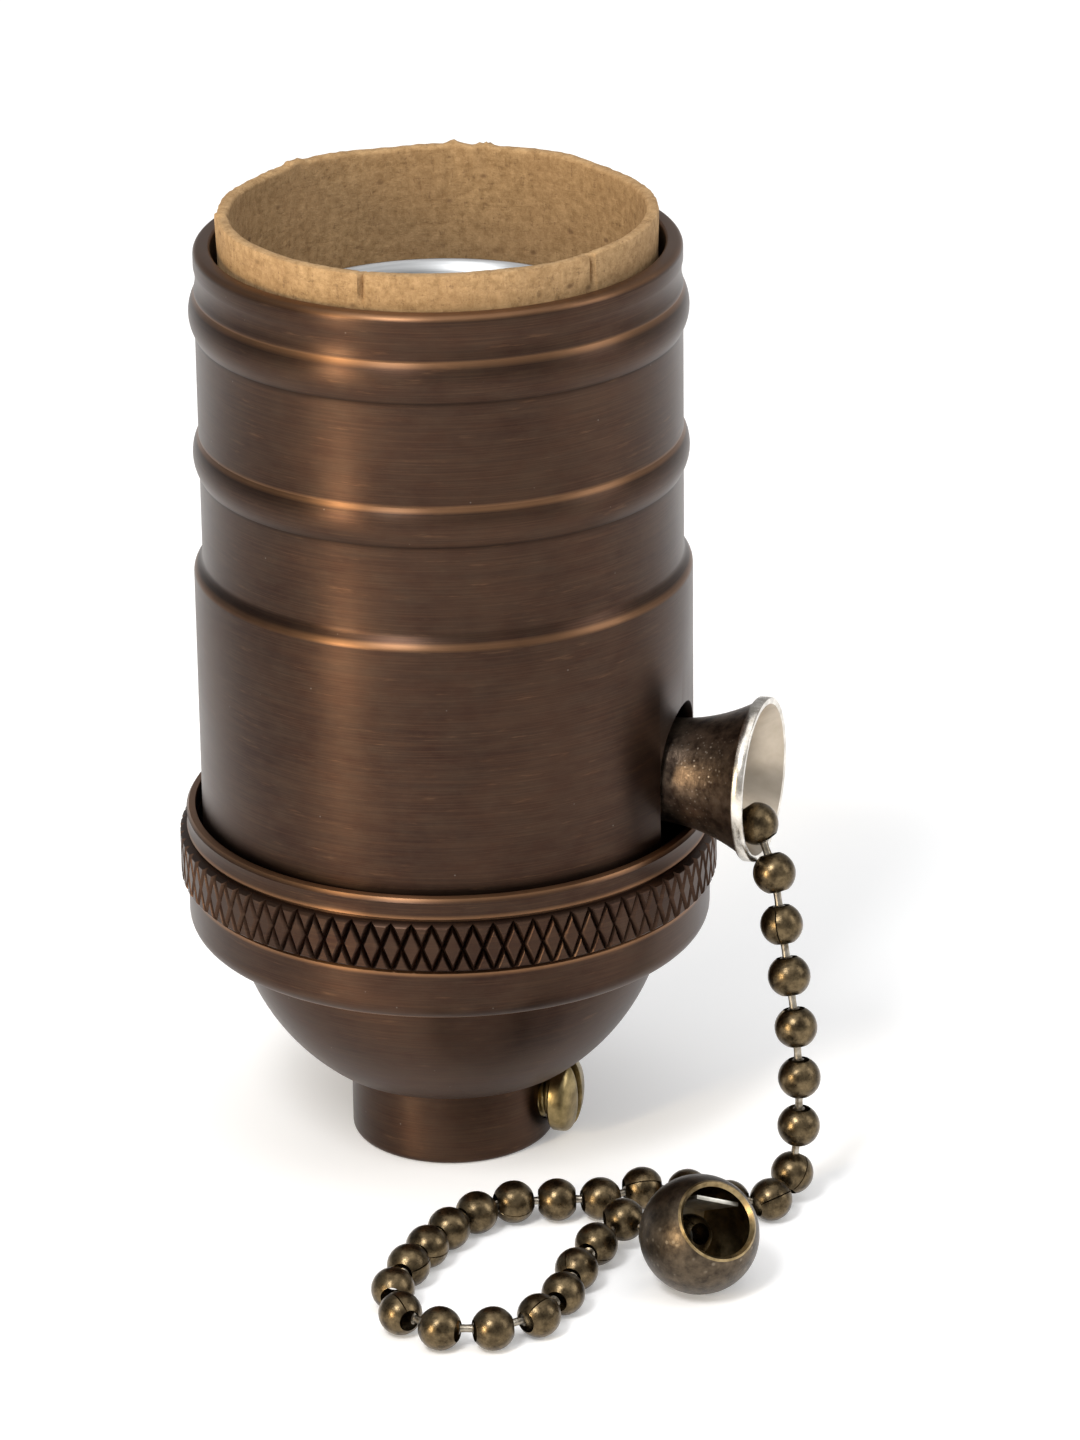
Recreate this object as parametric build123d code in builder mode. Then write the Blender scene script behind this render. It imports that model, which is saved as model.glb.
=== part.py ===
from build123d import *
import os
from math import cos, pi, radians, sin, tan

# Pull-chain lamp socket (medium screw base) with its chain switch, standing on its threaded neck.
# Millimetres, +Z up along the socket's axis, origin at the middle of the neck's open end.
# The chain's spout points along +X. All turned profiles are drawn as (radius, height).

# ---- driving dimensions -------------------------------------------------------------------------
NECK_R = 7.7
NECK_TOP = 6.3              # where the neck's fillet meets the bowl
NECK_BORE_R = 4.58          # minor radius of the 1/8 in pipe thread
NECK_BORE_TOP = 8.4
BOWL_R = 16.5
BOWL_Z = 19.8               # centre of the bowl's sphere
BOWL_INNER_R = 15.2
BAND_BOTTOM = 17.3
KNURL_Z = (21.5, 25.4)
KNURL_R = 20.2
BAND_R = 19.6
CAP_TOP = 27.2
CAP_SEAT_R = 18.9
CAP_SEAT_Z = 20.9

SHELL_R = 18.4
SHELL_UPPER_R = 17.75
SHELL_BEAD_R = 18.2
SHELL_BOTTOM = 21.8
SHELL_STEP = (46.1, 46.8)
SHELL_BEADS = ((53.5, 56.5), (64.25, 67.3))
SHELL_COVE = (67.5, 69.2)
SHELL_TOP = 70.7
SHELL_BORE_R = 17.2
SHELL_MOUTH_R = 16.5
SLOT_HALF_WIDTH = 4.2
SLOT_Z = 32.3

LINER_R = 15.95
LINER_WALL = 0.9
LINER_Z = (24.2, 72.8)
LINER_SLOT_HALF_WIDTH = 4.5

SPOUT_Z = 31.2
SPOUT_R = 3.85
SPOUT_WALL = 0.55
SPOUT_ROOT = 11.6
SPOUT_MOUTH = 24.6
SPOUT_MOUTH_R = 6.13
SPOUT_FLARE_START = 18.4
SPOUT_FLANGE = (0.9, 5.0)   # thickness, radius

BODY_R = 14.2
BODY_FLANGE_R = 16.9
BODY_BOTTOM = 21.9
BODY_FLANGE_TOP = 23.7
BODY_SPLIT = SPOUT_Z        # the halves part on the spout's axis
BODY_TOP = 46.0

LAMP_BORE_R = 12.35         # minor radius of the medium screw thread
LAMP_SHEET = 0.35
LAMP_SKIRT_R = 12.1         # plain stretch below the thread
LAMP_THREAD_BOTTOM = 49.6
LAMP_SHELL_TOP = 65.0
LAMP_RIM_R = 13.4
LAMP_FLANGE_BORE_R = 7.0    # hole in the shell's floor, round the centre contact
RIVET_HOLE_R = 0.95
RIVET_R = 0.9
RIVET_HEAD_R = 1.7

ROTOR_X = -1.5
WHEEL_R = 4.2
WHEEL_Z = (29.2, 30.7)
WHEEL_TEETH = 8
TOOTH_STEP = 360 / WHEEL_TEETH
WHEEL_ROOT_R = 3.25
DRUM_R = 3.5
DRUM_Z = (25.2, 29.1)
BRIDGE_REACH = 4.6
WELL_R = 5.6
WELL_FLOOR = 24.9
SHAFT_R = 0.8
SHAFT_Z = (23.4, 31.8)

SLIDE_Z = (32.95, 33.7)
POCKET_X = (-9.6, 9.2)
POCKET_Y = (-7.0, 7.4)
POCKET_TOP = 35.4
POCKET_FLOOR = 28.9
PAWL_PIVOT = (-6.4, 5.7)
PAWL_PIN_R = 0.5
SPRING_Y = -4.6
SPRING_Z = 33.2
SPRING_WIRE_R = 0.18
SPRING_R = 1.4
SPRING_X = (-1.0, 9.2)
SPRING_TURNS = 6

TERMINAL_X = 3.0
TERMINAL_Z = 26.9
TERMINAL_FLAT = 10.5
TERMINAL_SCREW_R = 1.6
TERMINAL_HEAD_R = 2.75
PLATE_WIDTH = 8.4
PLATE_HEIGHT = 6.6
PLATE_SHEET = 0.8
PLATE_EAR = (3.0, 2.2)      # width and reach of the wiring plate's turned ear
BODY_SCREW_AT = ((-10.2, 6.6), (-10.2, -6.6))
BODY_SCREW_R = 1.1
BODY_SCREW_LENGTH = 14.9
BODY_SCREW_HEAD = (1.3, 2.0)  # height, radius

SET_SCREW_Z = 3.5
SET_SCREW_R = 2.0
SET_SCREW_HEAD_R = 2.6
SET_SCREW_HEAD = 2.3        # head's height
SET_SCREW_GAP = 0.6         # between the neck and the head

CHAIN_R = 1.59              # ball radius of number 6 ball chain
CHAIN_NECK_R = 0.35
CONNECTOR_AT = Vector(25.8, -21.2, 4.35)
CONNECTOR_R = 4.35
CONNECTOR_WALL = 0.4
CONNECTOR_MOUTH_R = 3.0
CONNECTOR_MOUTH_DIR = Vector(0.517, -0.555, 0.651).normalized()
CONNECTOR_TAIL_DIR = Vector(-0.70, 0.56, -0.445).normalized()

# The chain's route: along the spout, over its lip, down to the table, once round a small loop and back
# to the connector. The points are the corners of its straight runs.
CHAIN_ROUTE = [
    (13.2, 0.0, 31.2),
    (20.4, 0.1, 31.0),
    (26.9, -1.3, 28.4),
    (27.7, -3.1, 20.6),
    (28.7, -4.6, 12.6),
    (28.9, -5.0, 6.8),
    (28.8, -6.0, 2.9),
    (28.5, -9.3, 1.6),
    (26.4, -12.2, 1.6),
    (22.6, -11.9, 1.6),
    (18.4, -10.7, 1.6),
    (13.6, -13.0, 1.6),
    (9.0, -14.9, 1.6),
    (6.2, -19.4, 1.6),
    (5.3, -25.0, 1.6),
    (5.1, -31.0, 1.6),
    (8.4, -35.6, 1.6),
    (14.0, -35.2, 1.6),
    (17.9, -30.9, 1.6),
    (16.9, -25.6, 1.6),
    (14.9, -21.4, 1.7),
    (15.3, -17.1, 1.7),
    (18.9, -15.3, 1.7),
]
CHAIN_TAIL = CONNECTOR_AT + CONNECTOR_TAIL_DIR * (CONNECTOR_R + 0.85)
CHAIN_END_BALL = CONNECTOR_AT + CONNECTOR_TAIL_DIR * 1.3

os.makedirs("parts", exist_ok=True)


def save(builder, name):
    """Label the finished piece and write it as its own node."""
    builder.part.label = name
    export_step(builder.part, f"parts/{name}.step")


def side_plane(x):
    """Sketch plane across the spout's axis at x; its local axes are Y and Z."""
    return Plane(origin=(x, 0, 0), x_dir=(0, 1, 0), z_dir=(1, 0, 0))


def corner_radii(points):
    """Tangent arc radius for each inner point of a route: as large as its shorter run allows."""
    radii = []
    for before, here, after in zip(points, points[1:], points[2:]):
        run_in = Vector(here) - Vector(before)
        run_out = Vector(after) - Vector(here)
        turn = run_in.get_angle(run_out)
        radii.append(0.45 * min(run_in.length, run_out.length) / tan(radians(turn / 2)))
    return radii


# ---- cap: neck, bowl, knurled band and rim -------------------------------------------------------
BOWL_JOIN_R = 10.0           # inside this radius the bowl's underside runs flatter, into the neck
BOWL_JOIN_Z = BOWL_Z - (BOWL_R**2 - BOWL_JOIN_R**2) ** 0.5
NECK_FILLET = 0.9
NECK_EDGE_R = 0.8
BAND_FOOT = (1.4, 0.9)       # how far the band's lower edge is turned in and how high
BAND_CHAMFER = 0.3
KNURL_RAMP = 0.3             # height over which the knurled ring rises from the band
BOWL_UNDER_BAND = (BOWL_R**2 - (BOWL_Z - BAND_BOTTOM) ** 2) ** 0.5
CHAMBER_FLOOR_R = (BOWL_INNER_R**2 - (BOWL_Z - NECK_BORE_TOP) ** 2) ** 0.5

with BuildPart() as cap:
    with BuildSketch(Plane.XZ):
        with BuildLine():
            Line((NECK_BORE_R, 0), (NECK_R - NECK_EDGE_R, 0))
            RadiusArc((NECK_R - NECK_EDGE_R, 0), (NECK_R, NECK_EDGE_R), -NECK_EDGE_R)
            Line((NECK_R, NECK_EDGE_R), (NECK_R, NECK_TOP - NECK_FILLET))
            RadiusArc((NECK_R, NECK_TOP - NECK_FILLET), (NECK_R + NECK_FILLET, NECK_TOP), 1.0)
            Line((NECK_R + NECK_FILLET, NECK_TOP), (BOWL_JOIN_R, BOWL_JOIN_Z))
            RadiusArc((BOWL_JOIN_R, BOWL_JOIN_Z), (BOWL_UNDER_BAND, BAND_BOTTOM), -BOWL_R)
            Polyline(
                (BOWL_UNDER_BAND, BAND_BOTTOM),
                (BAND_R - BAND_FOOT[0], BAND_BOTTOM),
                (BAND_R - 0.4, BAND_BOTTOM + BAND_FOOT[1]),
                (BAND_R, BAND_BOTTOM + 2.2),
                (BAND_R, KNURL_Z[0] - KNURL_RAMP),
                (KNURL_R, KNURL_Z[0] + KNURL_RAMP),
                (KNURL_R, KNURL_Z[1] - KNURL_RAMP),
                (BAND_R, KNURL_Z[1] + KNURL_RAMP),
                (BAND_R, CAP_TOP - BAND_CHAMFER),
                (BAND_R - BAND_CHAMFER, CAP_TOP),
                (CAP_SEAT_R, CAP_TOP),
                (CAP_SEAT_R, CAP_SEAT_Z),
                (BOWL_INNER_R, CAP_SEAT_Z),
                (BOWL_INNER_R, BOWL_Z),
            )
            RadiusArc((BOWL_INNER_R, BOWL_Z), (CHAMBER_FLOOR_R, NECK_BORE_TOP), BOWL_INNER_R)
            Polyline((CHAMBER_FLOOR_R, NECK_BORE_TOP), (NECK_BORE_R, NECK_BORE_TOP), (NECK_BORE_R, 0))
        make_face()
    revolve(axis=Axis.Z)
    with BuildSketch(side_plane(0)):
        with Locations((0, SET_SCREW_Z)):
            Circle(SET_SCREW_R + 0.05)
    extrude(amount=NECK_R + 1, mode=Mode.SUBTRACT)
save(cap, "cap")

with BuildPart() as set_screw:
    with BuildSketch(side_plane(NECK_BORE_R + 0.2)):
        with Locations((0, SET_SCREW_Z)):
            Circle(SET_SCREW_R)
    extrude(amount=NECK_R + SET_SCREW_GAP - NECK_BORE_R)
    with BuildSketch(side_plane(NECK_R + SET_SCREW_GAP)):
        with Locations((0, SET_SCREW_Z)):
            Circle(SET_SCREW_HEAD_R)
    extrude(amount=SET_SCREW_HEAD)
    fillet(set_screw.edges().filter_by(GeomType.CIRCLE).group_by(Axis.X)[-1], 0.9)
    with BuildSketch(side_plane(NECK_R + SET_SCREW_GAP + SET_SCREW_HEAD - 1.0)):
        with Locations((0, SET_SCREW_Z)):
            Rectangle(0.8, 2 * SET_SCREW_HEAD_R + 1)
    extrude(amount=SET_SCREW_HEAD, mode=Mode.SUBTRACT)
save(set_screw, "set_screw")

# ---- fibre cup that lines the cap -----------------------------------------------------------------
CUP_R = BOWL_INNER_R - 0.15
CUP_SHEET = 0.8
CUP_BOTTOM = 9.6
CUP_FLANGE = (CAP_SEAT_Z + 0.05, CAP_SEAT_Z + 0.85)

with BuildPart() as cap_insulator:
    with BuildSketch(Plane.XZ):
        with BuildLine():
            cup_low_out = ((CUP_R**2 - (BOWL_Z - CUP_BOTTOM) ** 2) ** 0.5, CUP_BOTTOM)
            cup_inner_r = CUP_R - CUP_SHEET
            cup_low_in = ((cup_inner_r**2 - (BOWL_Z - CUP_BOTTOM) ** 2) ** 0.5, CUP_BOTTOM)
            RadiusArc(cup_low_out, (CUP_R, BOWL_Z), -CUP_R)
            Polyline(
                (CUP_R, BOWL_Z),
                (CUP_R, CUP_FLANGE[0]),
                (BODY_FLANGE_R, CUP_FLANGE[0]),
                (BODY_FLANGE_R, CUP_FLANGE[1]),
                (cup_inner_r, CUP_FLANGE[1]),
                (cup_inner_r, BOWL_Z),
            )
            RadiusArc((cup_inner_r, BOWL_Z), cup_low_in, cup_inner_r)
            Line(cup_low_in, cup_low_out)
        make_face()
    revolve(axis=Axis.Z)
save(cap_insulator, "cap_insulator")

# ---- outer shell, with its two rolled beads and the slot for the spout ----------------------------
with BuildPart() as outer_shell:
    with BuildSketch(Plane.XZ):
        with BuildLine():
            Polyline(
                (SHELL_BORE_R, SHELL_BOTTOM),
                (SHELL_R, SHELL_BOTTOM),
                (SHELL_R, SHELL_STEP[0]),
                (SHELL_UPPER_R, SHELL_STEP[1]),
                (SHELL_UPPER_R, SHELL_BEADS[0][0]),
            )
            at = (SHELL_UPPER_R, SHELL_BEADS[0][0])
            for low, high in SHELL_BEADS:
                if at[1] != low:
                    Line(at, (SHELL_UPPER_R, low))
                ThreePointArc(
                    (SHELL_UPPER_R, low), (SHELL_BEAD_R, (low + high) / 2), (SHELL_UPPER_R, high)
                )
                at = (SHELL_UPPER_R, high)
            Line(at, (SHELL_UPPER_R, SHELL_COVE[0]))
            ThreePointArc(
                (SHELL_UPPER_R, SHELL_COVE[0]),
                (SHELL_UPPER_R - 0.3, sum(SHELL_COVE) / 2),
                (SHELL_UPPER_R, SHELL_COVE[1]),
            )
            Polyline(
                (SHELL_UPPER_R, SHELL_COVE[1]),
                (SHELL_UPPER_R, SHELL_TOP - 0.4),
                (SHELL_UPPER_R - 0.4, SHELL_TOP),
                (SHELL_MOUTH_R, SHELL_TOP),
                (SHELL_MOUTH_R, SHELL_STEP[1] + 0.7),
                (SHELL_BORE_R, SHELL_STEP[1]),
                (SHELL_BORE_R, SHELL_BOTTOM),
            )
        make_face()
    revolve(axis=Axis.Z)
    with BuildSketch(side_plane(LINER_R)):
        with Locations((0, SLOT_Z)):
            Circle(SLOT_HALF_WIDTH)
        with Locations((0, (SLOT_Z + SHELL_BOTTOM - 1) / 2)):
            Rectangle(2 * SLOT_HALF_WIDTH, SLOT_Z - SHELL_BOTTOM + 1)
    extrude(amount=6, mode=Mode.SUBTRACT)
save(outer_shell, "outer_shell")

with BuildPart() as shell_liner:
    with BuildSketch(Plane.XY.offset(LINER_Z[0])):
        Circle(LINER_R)
        Circle(LINER_R - LINER_WALL, mode=Mode.SUBTRACT)
    extrude(amount=LINER_Z[1] - LINER_Z[0])
    with BuildSketch(side_plane(10)):
        with Locations((0, SLOT_Z)):
            Circle(LINER_SLOT_HALF_WIDTH)
        with Locations((0, (SLOT_Z + LINER_Z[0] - 1) / 2)):
            Rectangle(2 * LINER_SLOT_HALF_WIDTH, SLOT_Z - LINER_Z[0] + 1)
    extrude(amount=8, mode=Mode.SUBTRACT)
save(shell_liner, "shell_liner")

# ---- chain spout: a flanged tube that flares into a bell mouth ------------------------------------
SPOUT_AXIS = Axis((0, 0, SPOUT_Z), (1, 0, 0))
SPOUT_BORE_R = SPOUT_R - SPOUT_WALL

with BuildPart() as spout:
    with BuildSketch(Plane.XZ):
        with BuildLine():
            Polyline(
                (SPOUT_ROOT, SPOUT_Z + SPOUT_BORE_R),
                (SPOUT_ROOT, SPOUT_Z + SPOUT_FLANGE[1]),
                (SPOUT_ROOT + SPOUT_FLANGE[0], SPOUT_Z + SPOUT_FLANGE[1]),
                (SPOUT_ROOT + SPOUT_FLANGE[0], SPOUT_Z + SPOUT_R),
                (SPOUT_FLARE_START, SPOUT_Z + SPOUT_R),
            )
            TangentArc(
                (SPOUT_FLARE_START, SPOUT_Z + SPOUT_R),
                (SPOUT_MOUTH - 0.5, SPOUT_Z + SPOUT_MOUTH_R),
                tangent=(1, 0),
            )
            Polyline(
                (SPOUT_MOUTH - 0.5, SPOUT_Z + SPOUT_MOUTH_R),
                (SPOUT_MOUTH, SPOUT_Z + SPOUT_MOUTH_R),
                (SPOUT_MOUTH, SPOUT_Z + SPOUT_MOUTH_R - SPOUT_WALL),
            )
            bell_throat = (SPOUT_FLARE_START, SPOUT_Z + SPOUT_BORE_R)
            bell_mouth = (SPOUT_MOUTH, SPOUT_Z + SPOUT_MOUTH_R - SPOUT_WALL)
            TangentArc(bell_throat, bell_mouth, tangent=(1, 0))
            Line(bell_throat, (SPOUT_ROOT, SPOUT_Z + SPOUT_BORE_R))
        make_face()
    revolve(axis=SPOUT_AXIS)
save(spout, "spout")

# ---- moulded interior, in two halves that hold the spout and the switch between them --------------
POCKET_SIZE = (POCKET_X[1] - POCKET_X[0], POCKET_Y[1] - POCKET_Y[0])
POCKET_MID = ((POCKET_X[0] + POCKET_X[1]) / 2, (POCKET_Y[0] + POCKET_Y[1]) / 2)
HOOK_CHANNEL = 5.4

with BuildPart() as interior_base:
    with BuildSketch(Plane.XY.offset(BODY_BOTTOM)):
        Circle(BODY_R)
    extrude(amount=BODY_SPLIT - BODY_BOTTOM)
    with BuildSketch(Plane.XY.offset(BODY_BOTTOM)):
        Circle(BODY_FLANGE_R)
    extrude(amount=BODY_FLANGE_TOP - BODY_BOTTOM)
    # pocket for the ratchet wheel and pawl, the hook's channel, and the rotor's well
    with BuildSketch(Plane.XY.offset(POCKET_FLOOR)):
        with Locations(POCKET_MID):
            Rectangle(*POCKET_SIZE)
        with Locations(((POCKET_X[1] + SPOUT_ROOT) / 2, 0)):
            Rectangle(SPOUT_ROOT - POCKET_X[1] + 1, HOOK_CHANNEL)
    extrude(amount=BODY_SPLIT - POCKET_FLOOR, mode=Mode.SUBTRACT)
    with BuildSketch(Plane.XY.offset(WELL_FLOOR)):
        with Locations((ROTOR_X, 0)):
            Circle(WELL_R)
            Rectangle(2 * (WELL_R + 2.6), 3.2)
    extrude(amount=POCKET_FLOOR - WELL_FLOOR, mode=Mode.SUBTRACT)
    with BuildSketch(Plane.XY.offset(SHAFT_Z[0] - 0.1)):
        with Locations((ROTOR_X, 0)):
            Circle(SHAFT_R + 0.05)
    extrude(amount=WELL_FLOOR - SHAFT_Z[0] + 0.1, mode=Mode.SUBTRACT)
    # seat of the spout's tube and flange
    with BuildSketch(side_plane(SPOUT_ROOT)):
        with Locations((0, SPOUT_Z)):
            Circle(SPOUT_R + 0.03)
    extrude(amount=6, mode=Mode.SUBTRACT)
    with BuildSketch(side_plane(SPOUT_ROOT - 0.03)):
        with Locations((0, SPOUT_Z)):
            Circle(SPOUT_FLANGE[1] + 0.03)
    extrude(amount=SPOUT_FLANGE[0] + 0.06, mode=Mode.SUBTRACT)
    # a flat and a tapped hole on each side for the terminals
    for side in (1, -1):
        with BuildSketch(Plane.XY.offset(BODY_FLANGE_TOP)):
            with Locations((TERMINAL_X, side * (TERMINAL_FLAT + 2.5))):
                Rectangle(10.4, 5)
        extrude(amount=BODY_SPLIT - BODY_FLANGE_TOP, mode=Mode.SUBTRACT)
        with BuildSketch(Plane.XZ.offset(-side * TERMINAL_FLAT)):
            with Locations((TERMINAL_X, TERMINAL_Z)):
                Circle(TERMINAL_SCREW_R + 0.05)
        extrude(amount=side * 4.6, mode=Mode.SUBTRACT)
    with BuildSketch(Plane.XY.offset(BODY_BOTTOM)):
        with Locations(*BODY_SCREW_AT):
            Circle(BODY_SCREW_R + 0.05)
    extrude(amount=BODY_SPLIT - BODY_BOTTOM, mode=Mode.SUBTRACT)
save(interior_base, "interior_base")

CONTACT_ROOT_X = -5.2
CONTACT_WIDTH = 4.0
CONTACT_SHEET = 0.5
CONTACT_Z = BODY_TOP + 0.05  # top of the root
CONTACT_PAD_Z = 49.1
CONTACT_RIVET_X = -3.0
CONTACT_RIVET_R = 0.95
SHELL_RIVET_X = 9.4

with BuildPart() as interior_top:
    with BuildSketch(Plane.XY.offset(BODY_SPLIT)):
        Circle(BODY_R)
    extrude(amount=BODY_TOP - BODY_SPLIT)
    chamfer(interior_top.edges().group_by(Axis.Z)[-1], 0.4)
    with BuildSketch(Plane.XY.offset(BODY_SPLIT)):
        with Locations(POCKET_MID):
            Rectangle(*POCKET_SIZE)
    extrude(amount=POCKET_TOP - BODY_SPLIT, mode=Mode.SUBTRACT)
    with BuildSketch(Plane.XY.offset(BODY_SPLIT)):
        with Locations(((POCKET_X[1] + SPOUT_ROOT) / 2, 0)):
            Rectangle(SPOUT_ROOT - POCKET_X[1] + 1, HOOK_CHANNEL)
    extrude(amount=3.3, mode=Mode.SUBTRACT)
    with BuildSketch(side_plane(SPOUT_ROOT)):
        with Locations((0, SPOUT_Z)):
            Circle(SPOUT_R + 0.03)
    extrude(amount=6, mode=Mode.SUBTRACT)
    with BuildSketch(side_plane(SPOUT_ROOT - 0.03)):
        with Locations((0, SPOUT_Z)):
            Circle(SPOUT_FLANGE[1] + 0.03)
    extrude(amount=SPOUT_FLANGE[0] + 0.06, mode=Mode.SUBTRACT)
    # room under the centre contact's tongue, and the rivet holes
    with BuildSketch(Plane.XY.offset(BODY_TOP - 2.2)):
        Rectangle(12.0, CONTACT_WIDTH + 0.8)
    extrude(amount=2.2, mode=Mode.SUBTRACT)
    with BuildSketch(Plane.XY.offset(POCKET_TOP)):
        with Locations((CONTACT_RIVET_X, 0)):
            Circle(CONTACT_RIVET_R + 0.05)
        with Locations((SHELL_RIVET_X, 0), (-SHELL_RIVET_X, 0)):
            Circle(RIVET_HOLE_R)
    extrude(amount=BODY_TOP - POCKET_TOP, mode=Mode.SUBTRACT)
    with BuildSketch(Plane.XY.offset(BODY_SPLIT)):
        with Locations(*BODY_SCREW_AT):
            Circle(BODY_SCREW_R + 0.05)
    extrude(amount=6.0, mode=Mode.SUBTRACT)
save(interior_top, "interior_top")

with BuildPart() as body_screws:
    with BuildSketch(Plane.XY.offset(BODY_BOTTOM - 0.1)):
        with Locations(*BODY_SCREW_AT):
            Circle(BODY_SCREW_R)
    extrude(amount=BODY_SCREW_LENGTH)
    with BuildSketch(Plane.XY.offset(BODY_BOTTOM - BODY_SCREW_HEAD[0])):
        with Locations(*BODY_SCREW_AT):
            Circle(BODY_SCREW_HEAD[1])
    extrude(amount=BODY_SCREW_HEAD[0] - 0.02)
    with BuildSketch(Plane.XY.offset(BODY_BOTTOM - BODY_SCREW_HEAD[0])):
        with Locations(*BODY_SCREW_AT):
            Rectangle(0.7, 2 * BODY_SCREW_HEAD[1] + 0.4)
    extrude(amount=0.6, mode=Mode.SUBTRACT)
save(body_screws, "body_screws")

# ---- lamp contacts ---------------------------------------------------------------------------------
with BuildPart() as screw_shell:
    with BuildSketch(Plane.XZ):
        with BuildLine():
            Polyline(
                (LAMP_FLANGE_BORE_R, BODY_TOP + 0.02),
                (LAMP_SKIRT_R + LAMP_SHEET, BODY_TOP + 0.02),
                (LAMP_SKIRT_R + LAMP_SHEET, LAMP_THREAD_BOTTOM - LAMP_SHEET),
                (LAMP_BORE_R + LAMP_SHEET, LAMP_THREAD_BOTTOM - LAMP_SHEET),
                (LAMP_BORE_R + LAMP_SHEET, LAMP_SHELL_TOP - 0.9),
                (LAMP_RIM_R, LAMP_SHELL_TOP - 0.35),
                (LAMP_RIM_R, LAMP_SHELL_TOP),
                (LAMP_RIM_R - 0.25, LAMP_SHELL_TOP),
                (LAMP_BORE_R, LAMP_SHELL_TOP - 0.8),
                (LAMP_BORE_R, LAMP_THREAD_BOTTOM),
                (LAMP_SKIRT_R, LAMP_THREAD_BOTTOM),
                (LAMP_SKIRT_R, BODY_TOP + 0.02 + LAMP_SHEET),
                (LAMP_FLANGE_BORE_R, BODY_TOP + 0.02 + LAMP_SHEET),
                close=True,
            )
        make_face()
    revolve(axis=Axis.Z)
    with BuildSketch(Plane.XY.offset(BODY_TOP)):
        with Locations((SHELL_RIVET_X, 0), (-SHELL_RIVET_X, 0)):
            Circle(RIVET_HOLE_R)
    extrude(amount=1, mode=Mode.SUBTRACT)
save(screw_shell, "screw_shell")

with BuildPart() as shell_rivets:
    with BuildSketch(Plane.XY.offset(POCKET_TOP + 0.6)):
        with Locations((SHELL_RIVET_X, 0), (-SHELL_RIVET_X, 0)):
            Circle(RIVET_R)
    extrude(amount=BODY_TOP - POCKET_TOP)
    with BuildSketch(Plane.XY.offset(BODY_TOP + LAMP_SHEET + 0.05)):
        with Locations((SHELL_RIVET_X, 0), (-SHELL_RIVET_X, 0)):
            Circle(RIVET_HEAD_R)
    extrude(amount=0.6)
    fillet(shell_rivets.edges().group_by(Axis.Z)[-1], 0.35)
save(shell_rivets, "shell_rivets")

with BuildPart() as centre_contact:
    with BuildSketch(Plane.XZ.offset(-CONTACT_WIDTH / 2)):
        with BuildLine():
            # a flat root, a ramp, the raised pad that the lamp presses, and a turned-down tip
            Polyline(
                (CONTACT_ROOT_X, CONTACT_Z - CONTACT_SHEET),
                (-1.4, CONTACT_Z - CONTACT_SHEET),
                (2.2, CONTACT_PAD_Z - CONTACT_SHEET),
                (3.6, CONTACT_PAD_Z - CONTACT_SHEET),
                (4.8, CONTACT_PAD_Z - 1.7),
                (5.1, CONTACT_PAD_Z - 1.4),
                (3.8, CONTACT_PAD_Z),
                (2.0, CONTACT_PAD_Z),
                (-1.6, CONTACT_Z),
                (CONTACT_ROOT_X, CONTACT_Z),
                close=True,
            )
        make_face()
    extrude(amount=CONTACT_WIDTH)
    with BuildSketch(Plane.XY.offset(CONTACT_Z - 1)):
        with Locations((CONTACT_RIVET_X, 0)):
            Circle(CONTACT_RIVET_R + 0.3)
    extrude(amount=1.5, mode=Mode.SUBTRACT)
save(centre_contact, "centre_contact")

with BuildPart() as contact_rivet:
    with BuildSketch(Plane.XY.offset(POCKET_TOP + 0.4)):
        with Locations((CONTACT_RIVET_X, 0)):
            Circle(CONTACT_RIVET_R)
    extrude(amount=BODY_TOP - POCKET_TOP - 0.3)
    with BuildSketch(Plane.XY.offset(BODY_TOP + 0.1)):
        with Locations((CONTACT_RIVET_X, 0)):
            Circle(1.5)
    extrude(amount=0.5)
    with BuildSketch(Plane.XY.offset(POCKET_TOP + 0.4)):
        with Locations((CONTACT_RIVET_X, 0)):
            Circle(0.45)
    extrude(amount=BODY_TOP - POCKET_TOP + 1, mode=Mode.SUBTRACT)
save(contact_rivet, "contact_rivet")


def terminal_plate(side, name):
    """Angled wiring plate on one side of the base, with its clearance hole."""
    near = TERMINAL_FLAT + 0.02
    with BuildPart() as plate:
        with BuildSketch(Plane.XY.offset(BODY_FLANGE_TOP + 0.3)):
            with Locations((TERMINAL_X, side * (near + PLATE_SHEET / 2))):
                Rectangle(PLATE_WIDTH, PLATE_SHEET)
        extrude(amount=PLATE_HEIGHT)
        with BuildSketch(Plane.XY.offset(BODY_FLANGE_TOP + PLATE_HEIGHT - 0.5)):
            with Locations((TERMINAL_X - (PLATE_WIDTH - PLATE_EAR[0]) / 2, side * (near + PLATE_EAR[1] / 2))):
                Rectangle(*PLATE_EAR)
        extrude(amount=PLATE_SHEET)
        with BuildSketch(Plane.XZ.offset(-side * (near - 1))):
            with Locations((TERMINAL_X, TERMINAL_Z)):
                Circle(TERMINAL_SCREW_R + 0.1)
        extrude(amount=-side * 4, mode=Mode.SUBTRACT)
    save(plate, name)


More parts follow.
